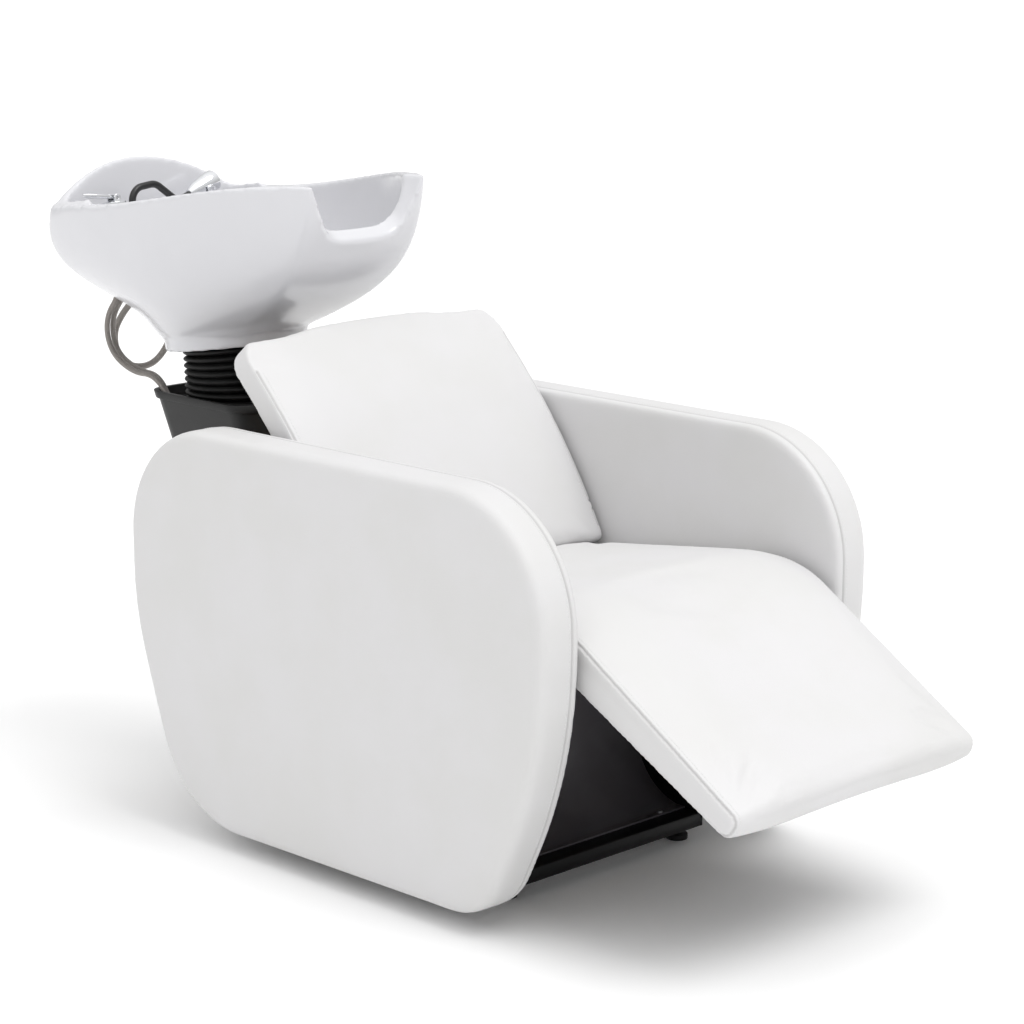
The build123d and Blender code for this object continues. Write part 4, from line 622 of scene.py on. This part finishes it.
# Arms
def arm_pad():
    """Left arm: outline of the CAD pad, drawn out to its full thickness and rounded."""
    shape = cad_copy("arm_outer_pad_left")
    outline = max(cut_lines(shape, (ARM_CUT_X, 0, 0), (1, 0, 0)),
                  key=lambda line: max(point.z for point in line) - min(point.z for point in line))
    shape.free()
    shape = bmesh.new()
    ring = [shape.verts.new((ARM_INNER_X, point.y, point.z)) for point in outline]
    face = shape.faces.new(ring)
    drawn = bmesh.ops.extrude_face_region(shape, geom=[face])
    far = [item for item in drawn["geom"] if isinstance(item, bmesh.types.BMVert)]
    bmesh.ops.translate(shape, verts=far, vec=(ARM_OUTER_X - ARM_INNER_X, 0, 0))
    bmesh.ops.recalc_face_normals(shape, faces=shape.faces)
    for x, radius in ((ARM_OUTER_X, 0.018), (ARM_INNER_X, 0.009)):
        rim = [edge for edge in shape.edges
               if all(abs(vertex.co.x - x) < 1e-5 for vertex in edge.verts)]
        bmesh.ops.bevel(shape, geom=rim, offset=radius, offset_type="OFFSET", segments=5,
                        profile=0.5, affect="EDGES", clamp_overlap=False, material=-1)
    bmesh.ops.triangulate(shape, faces=[face for face in shape.faces if len(face.verts) > 4])
    return shape, [Vector((ARM_SEAM_X, point.y, point.z)) for point in outline]


arm_shape, arm_seam = arm_pad()
arm_left = put(arm_shape, "arm_pad_left", "upholstery", sharp=0)
padding(arm_left, 0.0050, 4, 0.001, even_swell, free, 0.008)
smoothed(arm_left, 1)
seam_loop = spaced(arm_seam, SEAM_STEP, closed=True)
sewn(arm_left, [seam_loop], 0.0036, 0.0022)
thread_loop = [Vector((ARM_SEAM_X + THREAD_OFFSET, point.y, point.z)) for point in seam_loop]
arm_thread_left = stitches("arm_thread_left", arm_left, [thread_loop])


def mirrored(piece, name, finish=None):
    """Right-hand copy of a left-hand piece."""
    shape = bmesh.new()
    shape.from_mesh(piece.data)
    bmesh.ops.scale(shape, vec=(-1, 1, 1), verts=shape.verts)
    bmesh.ops.reverse_faces(shape, faces=shape.faces)
    return put(shape, name, "upholstery", finish=finish, sharp=0)


arm_right = mirrored(arm_left, "arm_pad_right")
arm_thread_right = mirrored(arm_thread_left, "arm_thread_right", thread)
for pad, side in ((arm_left, "left"), (arm_right, "right")):
    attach(pad, "base")
    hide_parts("arm_outer_pad_" + side, "arm_inner_pad_" + side)
for row in (arm_thread_left, arm_thread_right):
    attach(row, "base")


# Seat and leg rest: one cushion over the knee. A place is given by its x, its distance from
# the knee along the slope, and its drop below the upholstery's top.
def seat_place(x, along, drop):
    return Vector((x, KNEE.y + along * math.cos(SEAT_SLOPE) - drop * math.sin(SEAT_SLOPE),
                   KNEE.z - along * math.sin(SEAT_SLOPE) - drop * math.cos(SEAT_SLOPE)))


def leg_place(x, along, drop):
    return Vector((x, KNEE.y - along * math.cos(LEG_SLOPE) + drop * math.sin(LEG_SLOPE),
                   KNEE.z - along * math.sin(LEG_SLOPE) - drop * math.cos(LEG_SLOPE)))


seat_parts = ("seat_cushion", "knee_cushion", "leg_cushion")
seat_hold = board_hold(("seat_board", "leg_board", "leg_under_panel"), BOARD_REACH)
seat = put(cad_copy(*seat_parts), "seat_and_leg_cushion", "upholstery", sharp=0)
padding(seat, 0.0048, 3, 0.0015, crown_swell, seat_hold, 0.0065)
smoothed(seat, 1)


def along_seat(x, drop):
    """Line along the top of the seat and leg rest, over the knee and down to the tip."""
    bend = 0.062
    line = [seat_place(x, 0.425 - 0.01 * step, drop) for step in range(37)]
    centre = (SEAT_SLOPE + LEG_SLOPE) / 2
    start = seat_place(x, bend, drop)
    end = leg_place(x, bend, drop)
    lean = (LEG_SLOPE - SEAT_SLOPE) / 2
    corner = Vector((x, KNEE.y + drop / math.cos(centre) * math.sin(lean),
                     KNEE.z - drop / math.cos(centre) * math.cos(lean)))
    for step in range(1, 12):
        share = step / 12
        line.append(start * (1 - share) ** 2 + corner * (2 * share * (1 - share))
                    + end * share ** 2)
    line += [leg_place(x, bend + 0.01 * step, drop) for step in range(33)]
    return line


def round_tip(x, drop):
    """Line round the tip of the leg rest, from its top to its underside."""
    top = leg_place(x, 0.392, drop)
    out = leg_place(x, 0.409, drop + 0.006)
    low = leg_place(x, 0.407, 0.036)
    under = leg_place(x, 0.392, 0.047)
    return [top, out, low, under]


def seat_lines(x, drop):
    return [along_seat(side * x, drop) + round_tip(side * x, drop) for side in (-1, 1)]


seat_rows = seat_lines(0.2560, 0.0045)
sewn(seat, [spaced(line, SEAM_STEP) for line in seat_lines(0.2655, 0.0085)], 0.0040, 0.0022)
seat_thread = stitches("seat_thread", seat, seat_rows)
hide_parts(*seat_parts)
for soft in (seat, seat_thread):
    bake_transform(soft)


# Backrest
back_hold = board_hold(("backrest_board",), BOARD_REACH)
back = put(cad_copy("backrest_cushion"), "backrest_pad", "upholstery", sharp=0)
padding(back, 0.0040, 4, 0.0015, crown_swell, back_hold, 0.0065)


def lower_end(place):
    """How far a place is down the backrest's lower end, which sinks to the seat."""
    return step_down(place.z, 0.445, 0.500)


for vertex in back.data.vertices:
    vertex.co += Vector((0, -0.0060, -0.0120)) * lower_end(vertex.co)
smoothed(back, 1)


def front_edge(node, x, toward, low, high):
    """Line up a cushion's front at one x, from a cut along its length."""
    shape = cad_copy(node)
    loop = cut_lines(shape, (x, 0, 0), (1, 0, 0))[0]
    shape.free()
    middle = sum(loop, Vector()) / len(loop)
    front = [point for point in loop
             if (point - middle).dot(toward) > -0.030 and low < point.z < high]
    lowest = {}
    for point in front:
        level = round(point.z / 0.012)
        if level not in lowest or point.y < lowest[level].y:
            lowest[level] = point
    return [lowest[level] for level in sorted(lowest)]


BACK_FRONT = Vector((0, -0.77, 0.64))
back_seams = [spaced(front_edge("backrest_cushion", x, BACK_FRONT, 0.45, 0.742), 0.004)
              for x in (-0.2635, 0.2635)]
sewn(back, [spaced(line, SEAM_STEP) for line in back_seams], 0.0036, 0.0020)
back_thread = stitches("back_thread", back,
                       [[point - Vector((math.copysign(0.009, point.x), 0, 0)) for point in line]
                        for line in back_seams])
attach(back_thread, "base")
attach(back, "base")
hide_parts("backrest_cushion")


# Basin: the cast form with its edges softened by the glaze
basin = put(cad_copy("basin"), "basin_glazed", "ceramic", sharp=0)
remeshed(basin, 0.0040)
smoothed(basin, 5)
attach(basin, "basin")
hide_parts("basin")


# Bellows: a folded tube turned round, then leaned over as the CAD one is
def folded_tube(low, high, folds, valley, crest, wall):
    shape = bmesh.new()
    ends = [shape.verts.new((valley, 0, low)), shape.verts.new((valley, 0, high))]
    edge = shape.edges.new(ends)
    bmesh.ops.subdivide_edges(shape, edges=[edge], cuts=12 * folds - 1)
    for vertex in shape.verts:
        share = (vertex.co.z - low) / (high - low)
        wave = abs(math.sin(math.pi * folds * share))
        vertex.co.x = valley + (crest - valley) * wave ** 0.6
    bmesh.ops.spin(shape, geom=shape.verts[:] + shape.edges[:], cent=(0, 0, 0), axis=(0, 0, 1),
                   angle=2 * math.pi, steps=96, use_merge=True)
    bmesh.ops.recalc_face_normals(shape, faces=shape.faces)
    if max(shape.faces, key=lambda face: face.calc_center_median().x).normal.x < 0:
        bmesh.ops.reverse_faces(shape, faces=shape.faces)
    bmesh.ops.solidify(shape, geom=shape.faces[:], thickness=wall)
    top = basin_place(0, 0, 0.0397)
    for vertex in shape.verts:
        share = (vertex.co.z - low) / (high - low)
        turn = Matrix.Rotation(-TILT * share, 3, "X")
        middle = Vector((0, PIVOT.y + (top.y - PIVOT.y) * share ** 2,
                         low + (top.z - low) * share))
        vertex.co = middle + turn @ Vector((vertex.co.x, vertex.co.y, 0))
    return shape


bellows = put(folded_tube(0.6123, 0.7063, 8, 0.0815, 0.0905, 0.003), "folded_bellows",
              "black_rubber", sharp=60)
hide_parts("bellows")
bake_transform(bellows)

sleeve = put(cad_copy("waste_coupler"), "waste_sleeve", "black_rubber")
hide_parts("waste_coupler")
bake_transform(sleeve)


# Rigid pieces that show, with rounded edges
for node, radius in (("column_shroud", 0.0012), ("front_cover", 0.0006), ("end_beams", 0.0015),
                     ("side_plates", 0.0008), ("side_rails", 0.0015), ("middle_beam", 0.0015),
                     ("levelling_feet", 0.0012), ("foot_plate", 0.001), ("column_post", 0.002),
                     ("seat_crossbars", 0.0015), ("backrest_brackets", 0.001),
                     ("seat_hinge_brackets", 0.0008), ("leg_hinge_brackets", 0.0008),
                     ("mixer_body", 0.0015), ("mixer_cap", 0.0007), ("mixer_lever", 0.0014),
                     ("handset_head", 0.0015), ("shower_holder", 0.0009),
                     ("hose_grommet", 0.0015), ("basin_cradle", 0.001),
                     ("tilt_yoke", 0.001), ("head_plate", 0.001), ("hose_shelf", 0.0008)):
    rounded(node, radius)


# Hoses
def hose(name, node, route, radius):
    curve = bpy.data.curves.new(name, "CURVE")
    curve.dimensions = "3D"
    spline = curve.splines.new("NURBS")
    spline.points.add(len(route) - 1)
    for point, place in zip(spline.points, route):
        point.co = (*place, 1)
    spline.order_u = 3
    spline.use_endpoint_u = True
    spline.resolution_u = 16
    line = bpy.data.objects.new(name + "_line", curve)
    scene.collection.objects.link(line)
    graph = bpy.context.evaluated_depsgraph_get()
    path = [vertex.co.copy() for vertex in
            bpy.data.meshes.new_from_object(line.evaluated_get(graph)).vertices]
    curve.bevel_depth = radius
    curve.bevel_resolution = 8
    curve.use_fill_caps = True
    graph = bpy.context.evaluated_depsgraph_get()
    mesh = bpy.data.meshes.new_from_object(line.evaluated_get(graph))
    bpy.data.objects.remove(line)
    shape = bmesh.new()
    shape.from_mesh(mesh)
    bmesh.ops.remove_doubles(shape, verts=shape.verts, dist=0.000001)
    bmesh.ops.recalc_face_normals(shape, faces=shape.faces)
    travelled = [0.0]
    for before, after in zip(path, path[1:]):
        travelled.append(travelled[-1] + (after - before).length)
    tree = line_tree([path])
    along_layer = shape.verts.layers.float.new("along")
    around_layer = shape.verts.layers.float.new("around")
    for vertex in shape.verts:
        place, index, _ = tree.find(vertex.co)
        ahead = (path[min(index + 1, len(path) - 1)] - path[max(index - 1, 0)]).normalized()
        out = vertex.co - place
        side = Vector((1, 0, 0)) - ahead * ahead.x
        up = ahead.cross(side)
        vertex[along_layer] = travelled[index] + out.dot(ahead)
        vertex[around_layer] = math.atan2(out.dot(up), out.dot(side)) / math.pi
    piece = put(shape, name, "hose_braid", sharp=50)
    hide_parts(node)
    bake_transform(piece)


supply_far = ((-0.094, 0.7163, 0.8441), (-0.094, 0.7083, 0.787), (-0.096, 0.752, 0.738),
              (-0.090, 0.748, 0.678), (-0.081, 0.698, 0.652), (-0.078, 0.648, 0.650),
              (-0.080, 0.616, 0.608), (-0.064, 0.562, 0.572), (-0.064, 0.562, 0.516))
supply_near = ((-0.106, 0.7163, 0.8441), (-0.106, 0.7083, 0.787), (-0.108, 0.752, 0.738),
               (-0.102, 0.748, 0.680), (-0.094, 0.698, 0.650), (-0.088, 0.648, 0.652),
               (-0.087, 0.606, 0.612), (-0.082, 0.554, 0.576), (-0.082, 0.554, 0.516))
shower = ((-0.062, 0.7144, 0.8303), (-0.062, 0.7079, 0.7842), (-0.070, 0.751, 0.746),
          (-0.076, 0.776, 0.702), (-0.066, 0.764, 0.652), (-0.020, 0.744, 0.644),
          (0.002, 0.716, 0.690), (-0.012, 0.702, 0.738), (-0.020, 0.6956, 0.7864),
          (-0.020, 0.702, 0.832))


def union(name, low, high):
    """The union at the foot of one supply hose, out of the pair on the shelf."""
    shape = cad_copy("hose_unions")
    other = [vertex for vertex in shape.verts if not low < vertex.co.x < high]
    bmesh.ops.delete(shape, geom=other, context="VERTS")
    piece = put(shape, name, "brass")
    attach(piece, "base")
    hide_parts("hose_unions")
    return piece


union_far = union("far_union", -0.0725, 0.0)
union_near = union("near_union", -0.2, -0.0735)
hose("far_supply_hose", "supply_hose_far", supply_far, 0.0045)
hose("near_supply_hose", "supply_hose_near", supply_near, 0.0045)
hose("handset_hose", "shower_hose", shower, 0.0055)


# Floor and lights
FLOOR_REACH = 60
floor_shape = bmesh.new()
bmesh.ops.create_grid(floor_shape, x_segments=1, y_segments=1, size=FLOOR_REACH)
floor_finish = Finish("studio_floor", (0.97, 0.97, 0.97), 0.6)
floor_tone = floor_finish.noise(3, 2)
floor_finish.feed("Roughness", 0.55 + 0.1 * floor_tone)
floor_mesh = bpy.data.meshes.new("studio_floor")
floor_shape.to_mesh(floor_mesh)
floor_shape.free()
floor_mesh.materials.append(floor_finish.material)
floor = bpy.data.objects.new("studio_floor", floor_mesh)
scene.collection.objects.link(floor)


def studio_sky(side, top):
    """Even light from all sides that grows towards the ceiling."""
    world = bpy.data.worlds.new("studio")
    world.use_nodes = True
    tree = world.node_tree
    place = tree.nodes.new("ShaderNodeTexCoord")
    split = tree.nodes.new("ShaderNodeSeparateXYZ")
    ramp = tree.nodes.new("ShaderNodeMapRange")
    ramp.inputs["To Min"].default_value = side
    ramp.inputs["To Max"].default_value = top
    tree.links.new(place.outputs["Generated"], split.inputs[0])
    tree.links.new(split.outputs["Z"], ramp.inputs["Value"])
    tree.links.new(ramp.outputs[0], tree.nodes["Background"].inputs["Strength"])
    tree.nodes["Background"].inputs["Color"].default_value = (1, 1, 1, 1)
    return world


scene.world = studio_sky(0.50, 1.15)


def sun(name, direction, strength, angle):
    data = bpy.data.lights.new(name, "SUN")
    data.energy = strength
    data.angle = math.radians(angle)
    lamp = bpy.data.objects.new(name, data)
    lamp.rotation_mode = "QUATERNION"
    lamp.rotation_quaternion = Vector(direction).to_track_quat("-Z", "Y")
    scene.collection.objects.link(lamp)


sun("key", (-0.12, 0.50, -1.0), 1.05, 34)
sun("fill", (0.45, 0.35, -1.0), 0.35, 70)
scene.view_settings.view_transform = "Standard"
